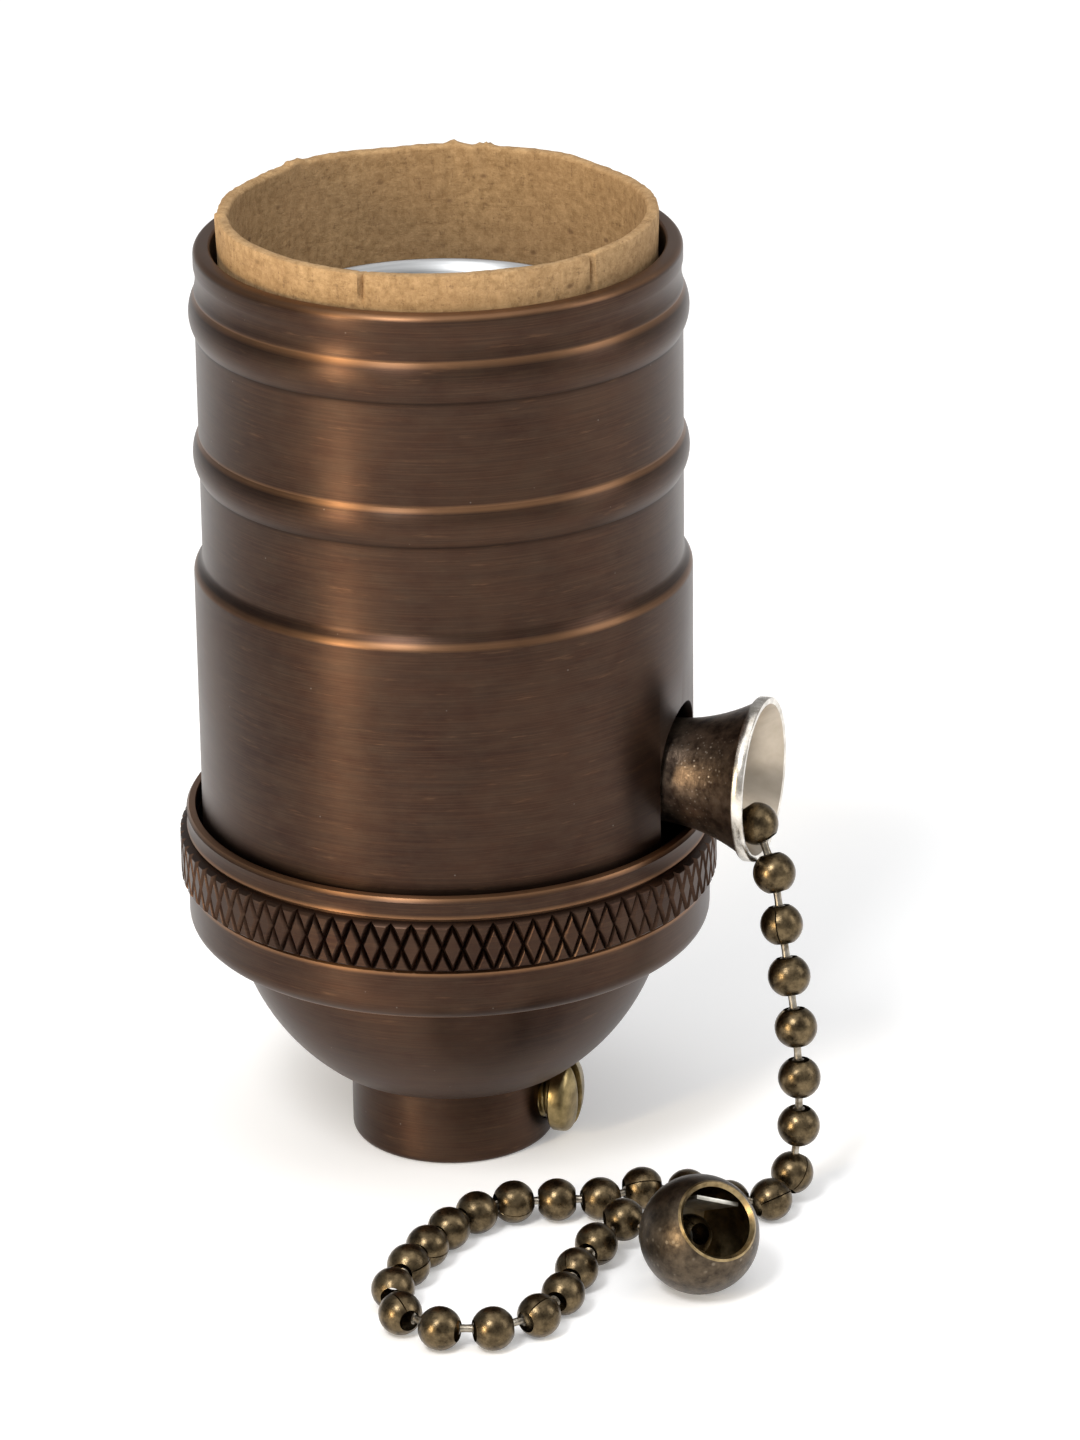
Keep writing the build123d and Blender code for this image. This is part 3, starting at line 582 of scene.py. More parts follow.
@dataclass(frozen=True)
class RubbedBronze:
    """Dark patina on turned brass, brushed round the axis; lighter lines at some heights are rubbed wear and
    painted highlight, darker lines are painted shadow.
    """

    name: str
    highlight_and_wear_heights: tuple[float, ...] = ()
    painted_shadow_heights: tuple[float, ...] = ()
    span: tuple[float, float] = (0.0, 0.08)
    ridge_width: float = 0.0005
    deep: Colour = (0.036, 0.0195, 0.0150)
    warm: Colour = (0.063, 0.035, 0.024)
    olive: Colour = (0.068, 0.047, 0.033)
    # Colour of the brushing streaks, the scuffs and the edge lines, these last partly rubbed wear and partly
    # painted highlight.
    rubbed_and_highlight: Colour = (0.36, 0.185, 0.090)
    # Colour of the painted shadow lines.
    painted_shadow_colour: Colour = (0.008, 0.005, 0.004)
    dust: Colour = (0.42, 0.38, 0.34)
    roughness: float = 0.38
    brushing: tuple[float, float, float] = (150, 150, 13000)
    scuffing: tuple[float, float, float] = (260, 260, 2600)

    def material(self) -> bpy.types.Material:
        """Build the material.

        Returns:
            The material.
        """
        board = NodeBoard(self.name)
        streaks = board.grain(board.place(self.brushing), 1.0, 4.0, 0.7)
        cloud = board.grain(board.place(), 95, 4.0, 0.6)
        haze = board.grain(board.place((1, 1, 2.5)), 330, 5.0, 0.7)
        scuffs = board.grain(board.place(self.scuffing, (9, 5, 0)), 1.0, 3.0, 0.7)
        tone = board.mix(board.ramp(cloud, [(0.35, 0.0), (0.68, 1.0)]), self.deep, self.warm)
        tone = board.mix(board.ramp(haze, [(0.35, 0.0), (0.75, 0.5)]), tone, self.olive)
        line_share = board.math("MULTIPLY", board.ramp(streaks, [(0.42, 0.0), (0.75, 1.0)]), 0.09)
        tone = board.mix(line_share, tone, self.rubbed_and_highlight)
        wear_and_highlight = board.math("MULTIPLY", board.ramp(scuffs, [(0.62, 0.0), (0.80, 1.0)]), 0.16)
        # The lighter lines at these heights are partly rubbed wear and partly painted highlight where the
        # light catches the edges.
        if self.highlight_and_wear_heights:
            wear_and_highlight = board.math("ADD", wear_and_highlight, self.bands(board, self.highlight_and_wear_heights, cloud))
        tone = board.mix(wear_and_highlight, tone, self.rubbed_and_highlight)
        # Painted shadow: dark lines at the given heights stand in for the shade that falls under the beads.
        if self.painted_shadow_heights:
            tone = board.mix(self.bands(board, self.painted_shadow_heights, cloud), tone, self.painted_shadow_colour)
        specks = board.ramp(board.specks(board.place(), 520), [(0.0, 1.0), (0.04, 0.0)])
        tone = board.mix(board.math("MULTIPLY", specks, 0.35), tone, self.dust)
        board.feed("Base Color", tone)
        board.set(Metallic=1.0, Anisotropic=0.7, Anisotropic_Rotation=0.25)
        board.feed("Roughness", board.span(cloud, self.roughness - 0.05, self.roughness + 0.09))
        board.round_tangent()
        board.feed("Normal", board.bump(streaks, 0.000003, 0.5))
        return board.material

    def bands(self, board: NodeBoard, levels: Sequence[float], cloud: Socket) -> Socket:
        """Soft lines at some heights, broken up by a slow noise.

        Args:
            board: The material's node board.
            levels: The lines' heights in metres.
            cloud: The noise that breaks them up.

        Returns:
            The value socket.
        """
        low, high = self.span
        axis = board.tree.nodes.new("ShaderNodeSeparateXYZ")
        board.tree.links.new(board.place(), axis.inputs["Vector"])
        height = board.tree.nodes.new("ShaderNodeMapRange")
        height.inputs["From Min"].default_value = low
        height.inputs["From Max"].default_value = high
        board.tree.links.new(axis.outputs["Z"], height.inputs["Value"])
        half = self.ridge_width / (high - low)
        stops = []
        for level in levels:
            middle = (level - low) / (high - low)
            stops += [(middle - half, 0.0), (middle, 1.0), (middle + half, 0.0)]
        lines = board.ramp(height.outputs["Result"], stops)
        return board.math("MULTIPLY", lines, board.span(cloud, 0.25, 1.0))


@dataclass(frozen=True)
class AgedMetal:
    """A metal whose tone wanders between two colours, with flakes, pits and its own gloss."""

    name: str
    deep: Colour
    light: Colour
    roughness: float
    cloud_scale: float
    contrast: tuple[float, float] = (0.35, 0.65)
    flake: Colour = (0.7, 0.6, 0.5)
    flake_scale: float = 2600.0
    flake_share: float = 0.0
    relief: float = 0.00001
    streak: tuple[float, float, float] = (1.0, 1.0, 1.0)

    def material(self) -> bpy.types.Material:
        """Build the material.

        Returns:
            The material.
        """
        board = NodeBoard(self.name)
        cloud = board.grain(board.place(self.streak), self.cloud_scale, 4.0, 0.62)
        fine = board.grain(board.place(self.streak), self.cloud_scale * 5, 3.0, 0.6)
        low, high = self.contrast
        tone = board.mix(board.ramp(cloud, [(low, 0.0), (high, 1.0)]), self.deep, self.light)
        if self.flake_share:
            flakes = board.ramp(board.specks(board.place(), self.flake_scale), [(0.10, 1.0), (0.26, 0.0)])
            patch = board.ramp(board.grain(board.place(), 260), [(0.46, 0.0), (0.66, 1.0)])
            shine = board.math("MULTIPLY", board.math("MULTIPLY", flakes, patch), self.flake_share)
            tone = board.mix(shine, tone, self.flake)
        board.feed("Base Color", tone)
        board.set(Metallic=1.0)
        board.feed("Roughness", board.span(fine, self.roughness - 0.08, self.roughness + 0.12))
        board.feed("Normal", board.bump(fine, self.relief, 0.5))
        return board.material


@dataclass(frozen=True)
class KraftBoard:
    """Rolled brown board: felted fibres, darker specks and a matt, slightly fuzzy face."""

    name: str
    pale: Colour = (0.46, 0.297, 0.148)
    dark: Colour = (0.28, 0.170, 0.076)
    fibre: Colour = (0.58, 0.38, 0.20)
    stain: Colour = (0.30, 0.175, 0.083)
    speck: Colour = (0.12, 0.062, 0.030)

    def material(self) -> bpy.types.Material:
        """Build the material.

        Returns:
            The material.
        """
        board = NodeBoard(self.name)
        felt = board.grain(board.place(), 1500, 6.0, 0.75)
        blotch = board.grain(board.place(), 220, 4.0, 0.6)
        one_way = board.grain(board.place((900, 900, 3400), (25, 0, 30)), 1.0, 3.0, 0.8)
        other_way = board.grain(board.place((3200, 2600, 800), (0, 35, 0)), 1.0, 3.0, 0.8)
        fibres = board.math("MULTIPLY", one_way, other_way)
        tone = board.mix(board.ramp(felt, [(0.36, 0.0), (0.64, 1.0)]), self.dark, self.pale)
        tone = board.mix(board.ramp(fibres, [(0.30, 0.0), (0.46, 0.55)]), tone, self.fibre)
        tone = board.mix(board.ramp(fibres, [(0.12, 0.6), (0.20, 0.0)]), tone, self.speck)
        spots = board.ramp(board.specks(board.place((1, 1, 1.6)), 330), [(0.05, 0.7), (0.13, 0.0)])
        tone = board.mix(spots, tone, self.speck)
        tone = board.mix(board.ramp(blotch, [(0.40, 0.0), (0.75, 0.35)]), tone, self.stain)
        board.feed("Base Color", tone)
        board.set(Roughness=0.92, Specular_IOR_Level=0.25)
        rough = board.bump(felt, 0.00012, 0.6)
        board.feed("Normal", board.bump(fibres, 0.0001, 0.6, rough))
        return board.material


@dataclass(frozen=True)
class MouldedPlastic:
    """Dark moulded resin or fibre, with a faint flow in its tone."""

    name: str
    deep: Colour
    light: Colour
    roughness: float
    relief: float = 0.00002

    def material(self) -> bpy.types.Material:
        """Build the material.

        Returns:
            The material.
        """
        board = NodeBoard(self.name)
        flow = board.grain(board.place((1, 1, 2)), 160, 5.0, 0.65)
        skin = board.grain(board.place(), 2200, 3.0, 0.6)
        tone = board.mix(board.ramp(flow, [(0.3, 0.0), (0.7, 1.0)]), self.deep, self.light)
        board.feed("Base Color", tone)
        board.feed("Roughness", board.span(skin, self.roughness - 0.06, self.roughness + 0.1))
        board.feed("Normal", board.bump(skin, self.relief, 0.4))
        return board.material


@dataclass(frozen=True)
class FloorPaint:
    """The plain pale floor, faintly lit from below as a light table is."""

    name: str = "floor_paint"
    glow: float = 0.22

    def material(self) -> bpy.types.Material:
        """Build the material.

        Returns:
            The material.
        """
        board = NodeBoard(self.name)
        cloud = board.grain(board.place(), 3.0, 2.0)
        board.feed("Base Color", board.mix(cloud, (0.90, 0.90, 0.90), (0.93, 0.93, 0.93)))
        board.set(Roughness=0.6, Specular_IOR_Level=0.2, Emission_Strength=self.glow)
        board.shader.inputs["Emission Color"].default_value = (1, 1, 1, 1)
        return board.material


ANTIQUE_BRASS = AgedMetal(
    "antique_brass", (0.042, 0.030, 0.017), (0.185, 0.135, 0.074), 0.28, 1300.0, (0.32, 0.70), relief=0.00002
)
MOTTLED_BRONZE = AgedMetal(
    "mottled_bronze", (0.052, 0.035, 0.026), (0.20, 0.146, 0.106), 0.38, 900.0, (0.36, 0.66),
    flake=(0.75, 0.66, 0.56), flake_share=0.75, relief=0.00004,
)
CONNECTOR_BRONZE = AgedMetal(
    "connector_bronze", (0.040, 0.030, 0.022), (0.125, 0.095, 0.065), 0.36, 1100.0, (0.34, 0.70),
    flake=(0.5, 0.42, 0.32), flake_scale=1500.0, flake_share=0.4, relief=0.00003,
)
SATIN_NICKEL = AgedMetal(
    "satin_nickel", (0.40, 0.335, 0.26), (0.62, 0.545, 0.45), 0.36, 420.0, (0.3, 0.75), streak=(0.25, 1, 0.6)
)
BRIGHT_RIM = AgedMetal("bright_rim", (0.50, 0.46, 0.40), (0.80, 0.76, 0.70), 0.22, 900.0)
# Brighter brass for the connector: a painted highlight on its lip and painted light inside the ball.
PAINTED_LIGHT_BRASS = AgedMetal("painted_light_brass", (0.16, 0.115, 0.055), (0.40, 0.30, 0.16), 0.3, 900.0)
ROLLED_ALUMINIUM = AgedMetal(
    "rolled_aluminium", (0.28, 0.285, 0.29), (0.46, 0.465, 0.47), 0.38, 60.0, streak=(1, 1, 30)
)
SCREW_BRASS = AgedMetal("screw_brass", (0.13, 0.095, 0.040), (0.34, 0.26, 0.125), 0.3, 900.0, (0.3, 0.7))
PLATED_STEEL = AgedMetal("plated_steel", (0.40, 0.40, 0.40), (0.62, 0.62, 0.61), 0.3, 500.0)
CLIP_STEEL = AgedMetal("clip_sheet", (0.46, 0.44, 0.39), (0.74, 0.72, 0.66), 0.42, 700.0)
PLAIN_BRASS = AgedMetal("plain_brass", (0.52, 0.34, 0.12), (0.74, 0.54, 0.24), 0.27, 500.0)
NICKEL_PLATE = AgedMetal("nickel_plate", (0.50, 0.48, 0.44), (0.68, 0.66, 0.61), 0.22, 500.0)
LINK_METAL = AgedMetal("link_metal", (0.16, 0.13, 0.09), (0.42, 0.38, 0.32), 0.3, 1500.0)
PHENOLIC = MouldedPlastic("phenolic", (0.012, 0.009, 0.008), (0.030, 0.022, 0.018), 0.3)
KRAFT = KraftBoard("kraft_board")
FIBRE = MouldedPlastic("vulcanised_fibre", (0.030, 0.024, 0.020), (0.060, 0.048, 0.038), 0.75, 0.00006)


# ---- studio -------------------------------------------------------------------------------------------


@dataclass(frozen=True)
class SoftBox:
    """An area light that faces the object; azimuth 0 is the -Y side and 90 the +X side."""

    name: str
    azimuth: float
    elevation: float
    distance: float
    size: tuple[float, float]
    power: float
    tint: Colour = (1.0, 1.0, 1.0)

    def place(self, target: Vector) -> None:
        """Make the light and aim it.

        Args:
            target: The point that it faces.
        """
        lamp = bpy.data.lights.new(self.name, "AREA")
        lamp.shape = "RECTANGLE"
        lamp.size, lamp.size_y = self.size
        lamp.energy = self.power
        lamp.color = self.tint
        holder = bpy.data.objects.new(self.name, lamp)
        bpy.context.scene.collection.objects.link(holder)
        away = sight(self.azimuth, self.elevation)
        holder.location = target + away * self.distance
        holder.rotation_euler = away.to_track_quat("Z", "Y").to_euler()


def sight(azimuth: float, elevation: float) -> Vector:
    """The unit vector from the object towards an azimuth and elevation in degrees."""
    a, e = math.radians(azimuth), math.radians(elevation)
    return Vector((math.sin(a) * math.cos(e), -math.cos(a) * math.cos(e), math.sin(e)))


@dataclass
class Studio:
    """The camera, the pale floor and the soft light."""

    target: tuple[float, float, float] = (6.619, 2.151, 33.07)
    azimuth: float = 18.0
    elevation: float = 22.22
    roll: float = -0.72
    distance: float = 461.8
    lens: float = 154.8
    floor_reach: float = 4.0
    world_strength: float = 0.50
    world_far: Colour = (0.50, 0.51, 0.53)
    light_height: float = 0.035
    boxes: tuple[SoftBox, ...] = (
        SoftBox("main_box", -8, 49, 0.75, (0.16, 0.22), 3.0),
        SoftBox("strip_box", -28, 12, 0.75, (0.085, 0.28), 3.2, (1.0, 0.82, 0.56)),
        SoftBox("side_box", 98, 28, 0.80, (0.30, 0.50), 1.4),
        SoftBox("top_box", 20, 84, 0.90, (1.00, 1.00), 3.6),
    )

    def camera(self) -> None:
        """Make the camera."""
        away = sight(self.azimuth, self.elevation)
        view = away.to_track_quat("Z", "Y").to_matrix().to_4x4()
        tilt = Matrix.Rotation(math.radians(self.roll), 4, "Z")
        place = Vector(self.target) * MM + away * self.distance * MM
        data = bpy.data.cameras.new("studio_camera")
        data.lens = self.lens
        data.sensor_width = 36.0
        data.clip_start = 0.01
        holder = bpy.data.objects.new("studio_camera", data)
        bpy.context.scene.collection.objects.link(holder)
        holder.matrix_world = Matrix.Translation(place) @ view @ tilt
        bpy.context.scene.camera = holder

    def floor(self) -> None:
        """Make the floor."""
        bpy.ops.object.select_all(action="DESELECT")
        bpy.ops.mesh.primitive_plane_add(size=self.floor_reach, location=(0, 0, 0))
        floor = bpy.context.object
        open_piece(floor)
        bpy.ops.mesh.subdivide(number_cuts=3)
        close_piece()
        floor.name = "floor"
        floor.data.materials.append(FloorPaint().material())

    def world(self) -> None:
        """Make the even light from all round, dimmer on the side away from the main light."""
        world = bpy.data.worlds.new("studio_air")
        bpy.context.scene.world = world
        world.use_nodes = True
        tree = world.node_tree
        place = tree.nodes.new("ShaderNodeTexCoord")
        split = tree.nodes.new("ShaderNodeSeparateXYZ")
        tree.links.new(place.outputs["Generated"], split.inputs["Vector"])
        ramp = tree.nodes.new("ShaderNodeValToRGB")
        far, near = ramp.color_ramp.elements
        far.color = (*self.world_far, 1)
        near.position = 0.75
        shift = tree.nodes.new("ShaderNodeMapRange")
        shift.inputs["From Min"].default_value = -1.0
        tree.links.new(split.outputs["X"], shift.inputs["Value"])
        tree.links.new(shift.outputs["Result"], ramp.inputs["Fac"])
        tree.links.new(ramp.outputs["Color"], tree.nodes["Background"].inputs["Color"])
        tree.nodes["Background"].inputs["Strength"].default_value = self.world_strength

    def build(self) -> None:
        """Make everything in the studio, the soft boxes last."""
        self.camera()
        self.floor()
        self.world()
        for box in self.boxes:
            box.place(Vector((0, 0, self.light_height)))
        bpy.context.scene.view_settings.view_transform = "Standard"


# ---- chain and connector -----------------------------------------------------------------------------


class Centreline:
    """A smooth line through space, measured along its length."""

    def __init__(self, route: Sequence[tuple[float, float, float]]) -> None:
        """Lay a NURBS spline over a route and read its points back.

        Args:
            route: The control points in metres.
        """
        curve = bpy.data.curves.new("route", "CURVE")
        curve.dimensions = "3D"
        spline = curve.splines.new("NURBS")
        spline.points.add(len(route) - 1)
        for point, place in zip(spline.points, route):
            point.co = (*place, 1.0)
        spline.order_u = 3
        spline.use_endpoint_u = True
        spline.resolution_u = 24
        holder = bpy.data.objects.new("route", curve)
        bpy.context.scene.collection.objects.link(holder)
        line = bpy.data.meshes.new_from_object(holder)
        self.points = [vertex.co.copy() for vertex in line.vertices]
        bpy.data.objects.remove(holder)
        bpy.data.curves.remove(curve)
        bpy.data.meshes.remove(line)
        self.marks = [0.0]
        for here, there in zip(self.points, self.points[1:]):
            self.marks.append(self.marks[-1] + (there - here).length)

    @property
    def length(self) -> float:
        """The line's whole length in metres."""
        return self.marks[-1]

    def at(self, distance: float) -> Vector:
        """The point at a distance from the start.

        Args:
            distance: How far along the line, in metres.

        Returns:
            The point.
        """
        for index, mark in enumerate(self.marks[1:]):
            if mark >= distance:
                share = (distance - self.marks[index]) / (mark - self.marks[index])
                return self.points[index].lerp(self.points[index + 1], share)
        return self.points[-1].copy()


@dataclass
class BallChain:
    """Ball chain from the spout to the connector: hollow seamed balls on dumb-bell links."""

    ball_r: float = 1.59
    link_r: float = 0.30
    link_flare: float = 1.5
    link_bite: float = 0.22
    first: float = 0.30
    stretches: tuple[tuple[int, float], ...] = ((10, 3.87), (5, 3.55), (6, 3.24), (10, 3.83))
    seam_width: float = 0.05
    seam_depth: float = 0.12
    hole_r: float = 0.50
    hole_depth: float = 0.35
    held_at: float = 1.3
    held_turn: float = 70.0
    route: tuple[tuple[float, float, float], ...] = (
        (0.0132, 0.0000, 0.0312),
        (0.0200, -0.0002, 0.0304),
        (0.0252, -0.0013, 0.0285),
        (0.0269, -0.0031, 0.0206),
        (0.0287, -0.0049, 0.0126),
        (0.0289, -0.0054, 0.0068),
        (0.0285, -0.0050, 0.0022),
        (0.0282, -0.0086, 0.0016),
        (0.0266, -0.0109, 0.0016),
        (0.0229, -0.0096, 0.0016),
        (0.0186, -0.0089, 0.0016),
        (0.0160, -0.0129, 0.0016),
        (0.0096, -0.0142, 0.0016),
        (0.0067, -0.0184, 0.0016),
        (0.0055, -0.0250, 0.0016),
        (0.0053, -0.0314, 0.0016),
        (0.0086, -0.0356, 0.0016),
        (0.0144, -0.0349, 0.0016),
        (0.0179, -0.0303, 0.0016),
        (0.0172, -0.0253, 0.0016),
        (0.0176, -0.0208, 0.0017),
        (0.0180, -0.0163, 0.0024),
        (0.0206, -0.0164, 0.0019),
        (0.02216, -0.01829, 0.00204),
    )

    def ball(self) -> bpy.types.Object:
        """Model one ball: a seam down one side and a hole at each end.

        Returns:
            The ball at the origin, its holes on the Z axis.
        """
        bpy.ops.object.select_all(action="DESELECT")
        bpy.ops.mesh.primitive_uv_sphere_add(segments=28, ring_count=18, radius=self.ball_r * MM)
        ball = bpy.context.object
        open_piece(ball)
        reach = math.sqrt(self.ball_r**2 - self.hole_r**2) * MM
        radius = self.ball_r * MM
        share = self.hole_r / math.sqrt(self.ball_r**2 - (0.914 * self.ball_r) ** 2)
        for side in (1, -1):
            choose(ball, Part.VERTS, lambda at, s=side: at.z * s > 0.93 * radius)
            bpy.ops.mesh.delete(type="VERT")
            choose(ball, Part.VERTS, lambda at, s=side: at.z * s > 0.90 * radius)
            bpy.ops.mesh.extrude_region_move(TRANSFORM_OT_translate={"value": (0, 0, 0)})
            bpy.ops.transform.resize(value=(share, share, 1), center_override=(0, 0, side * reach))
            inward = (0, 0, -side * self.hole_depth * MM)
            bpy.ops.mesh.extrude_region_move(TRANSFORM_OT_translate={"value": inward})
            bpy.ops.mesh.edge_face_add()
        seam = self.seam_width * MM
        choose(ball, Part.EDGES, lambda at: at.x > 0 and abs(at.y) < 1e-6 and abs(at.z) < 0.85 * radius)
        bpy.ops.mesh.bevel(offset=seam, segments=2, affect="EDGES")
        choose(ball, Part.VERTS, lambda at: at.x > 0 and abs(at.y) < 0.2 * seam and abs(at.z) < 0.8 * radius)
        share = 1 - self.seam_depth / self.ball_r
        bpy.ops.transform.resize(value=(share, share, share), center_override=(0, 0, 0))
        close_piece()
        return settle(ball, "ball")

    def link(self) -> bpy.types.Object:
        """Model one link: a rod that opens where it goes into the balls.

        Returns:
            The link along Z, one unit of its length being one metre.
        """
        wide, waist = self.link_r * self.link_flare, self.link_r * 0.94
        outline = [
            (wide, -0.5 / MM),
            (self.link_r, -0.42 / MM),
            (waist, 0.0),
            (self.link_r, 0.42 / MM),
            (wide, 0.5 / MM),
        ]
        link = turn(outline, segments=14, closed=False)
        open_piece(link)
        choose(link, Part.EDGES, lambda at: abs(at.z) > 0.499)
        bpy.ops.mesh.edge_face_add()
        close_piece()
        return settle(link, "link")

    def stations(self) -> list[float]:
        """Distances of the balls along the centreline, closer together where the chain lies slack.

        Returns:
            The distances in metres.
        """
        marks = [self.first]
        for count, pitch in self.stretches:
            marks += [marks[-1] + pitch * (step + 1) for step in range(count)]
        return [mark * MM for mark in marks]

    def copy(self, model: bpy.types.Object, place: Matrix) -> bpy.types.Object:
        """A copy of a model with its own mesh, put at a place.

        Args:
            model: The object to copy.
            place: Where the copy goes.

        Returns:
            The copy, its place in its mesh.
        """
        copy = model.copy()
        copy.data = model.data.copy()
        copy.data.transform(place)
        bpy.context.scene.collection.objects.link(copy)
        return copy

    def bead(self, ball: bpy.types.Object, centre: Vector, line: Vector, spin: float) -> bpy.types.Object:
        """Set one ball on its centre.

        Args:
            ball: The model ball.
            centre: Where its centre goes.
            line: The direction of its holes.
            spin: Its turn round that line, in radians.

        Returns:
            The copy.
        """
        turned = line.to_track_quat("Z", "Y").to_matrix().to_4x4()
        return self.copy(ball, Matrix.Translation(centre) @ turned @ Matrix.Rotation(spin, 4, "Z"))

    def bond(self, link: bpy.types.Object, here: Vector, there: Vector) -> bpy.types.Object:
        """Set one link between two balls, its ends just inside them.

        Args:
            link: The model link.
            here: The first ball's centre.
            there: The next ball's centre.

        Returns:
            The copy.
        """
        line = there - here
        inside = 2 * (self.ball_r - self.link_bite) * MM
        stretch = Matrix.Diagonal((1, 1, max(line.length - inside, 0.0003), 1))
        turned = line.to_track_quat("Z", "Y").to_matrix().to_4x4()
        return self.copy(link, Matrix.Translation((here + there) / 2) @ turned @ stretch)

    def free_chain(
        self, centres: Sequence[Vector], ball: bpy.types.Object, link: bpy.types.Object
    ) -> bpy.types.Object:
        """String the balls that lie between the hook and the connector, each turned its own way.

        Args:
            centres: The balls' centres.
            ball: The model ball.
            link: The model link.

        Returns:
            The chain as one piece.
        """
        draw = random.Random(7)
        last = len(centres) - 1
        copies = []
        for index, centre in enumerate(centres):
            line = centres[min(index + 1, last)] - centres[max(index - 1, 0)]
            copies.append(self.bead(ball, centre, line, draw.uniform(0, 2 * math.pi)))
        copies += [self.bond(link, here, there) for here, there in zip(centres, centres[1:])]
        return settle(join(copies), "ball_chain")

    def end_balls(
        self,
        centres: Sequence[Vector],
        connector: "Connector",
        ball: bpy.types.Object,
        link: bpy.types.Object,
    ) -> bpy.types.Object:
        """Set the ball that the slide hooks and the ball that the connector holds, with their links.

        Args:
            centres: The free chain's centres.
            connector: The connector that holds the last ball.
            ball: The model ball.
            link: The model link.

        Returns:
            The four parts as one piece.
        """
        low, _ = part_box("chain_end_balls")
        spout_low, spout_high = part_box("spout")
        hooked = Vector((low.x + self.ball_r * MM, 0, (spout_low.z + spout_high.z) / 2))
        follower = centres[0] + Vector((-0.0012, 0, 0))
        held = connector.centre + connector.tail * self.held_at * MM
        parts = [
            self.bead(ball, hooked, follower - hooked, random.Random(3).uniform(0, 2 * math.pi)),
            self.bond(link, hooked, follower),
            self.bead(ball, held, connector.tail, math.radians(self.held_turn)),
            self.bond(link, held, centres[-1]),
        ]
        return settle(join(parts), "chain_end_balls_detailed")

    def build(self, connector: "Connector") -> None:
        """Args:
            connector: The connector that the last ball sits in.
        """
        line = Centreline(self.route)
        ball, link = self.ball(), self.link()
        coat(ball, ANTIQUE_BRASS.material())
        coat(link, LINK_METAL.material())
        centres = [line.at(mark) for mark in self.stations()]
        chain = self.free_chain(centres, ball, link)
        ends = self.end_balls(centres, connector, ball, link)
        for model in (ball, link):
            bpy.data.objects.remove(model)
        place_piece(chain, "pull_train", "pull_chain")
        place_piece(ends, "pull_train", "chain_end_balls")


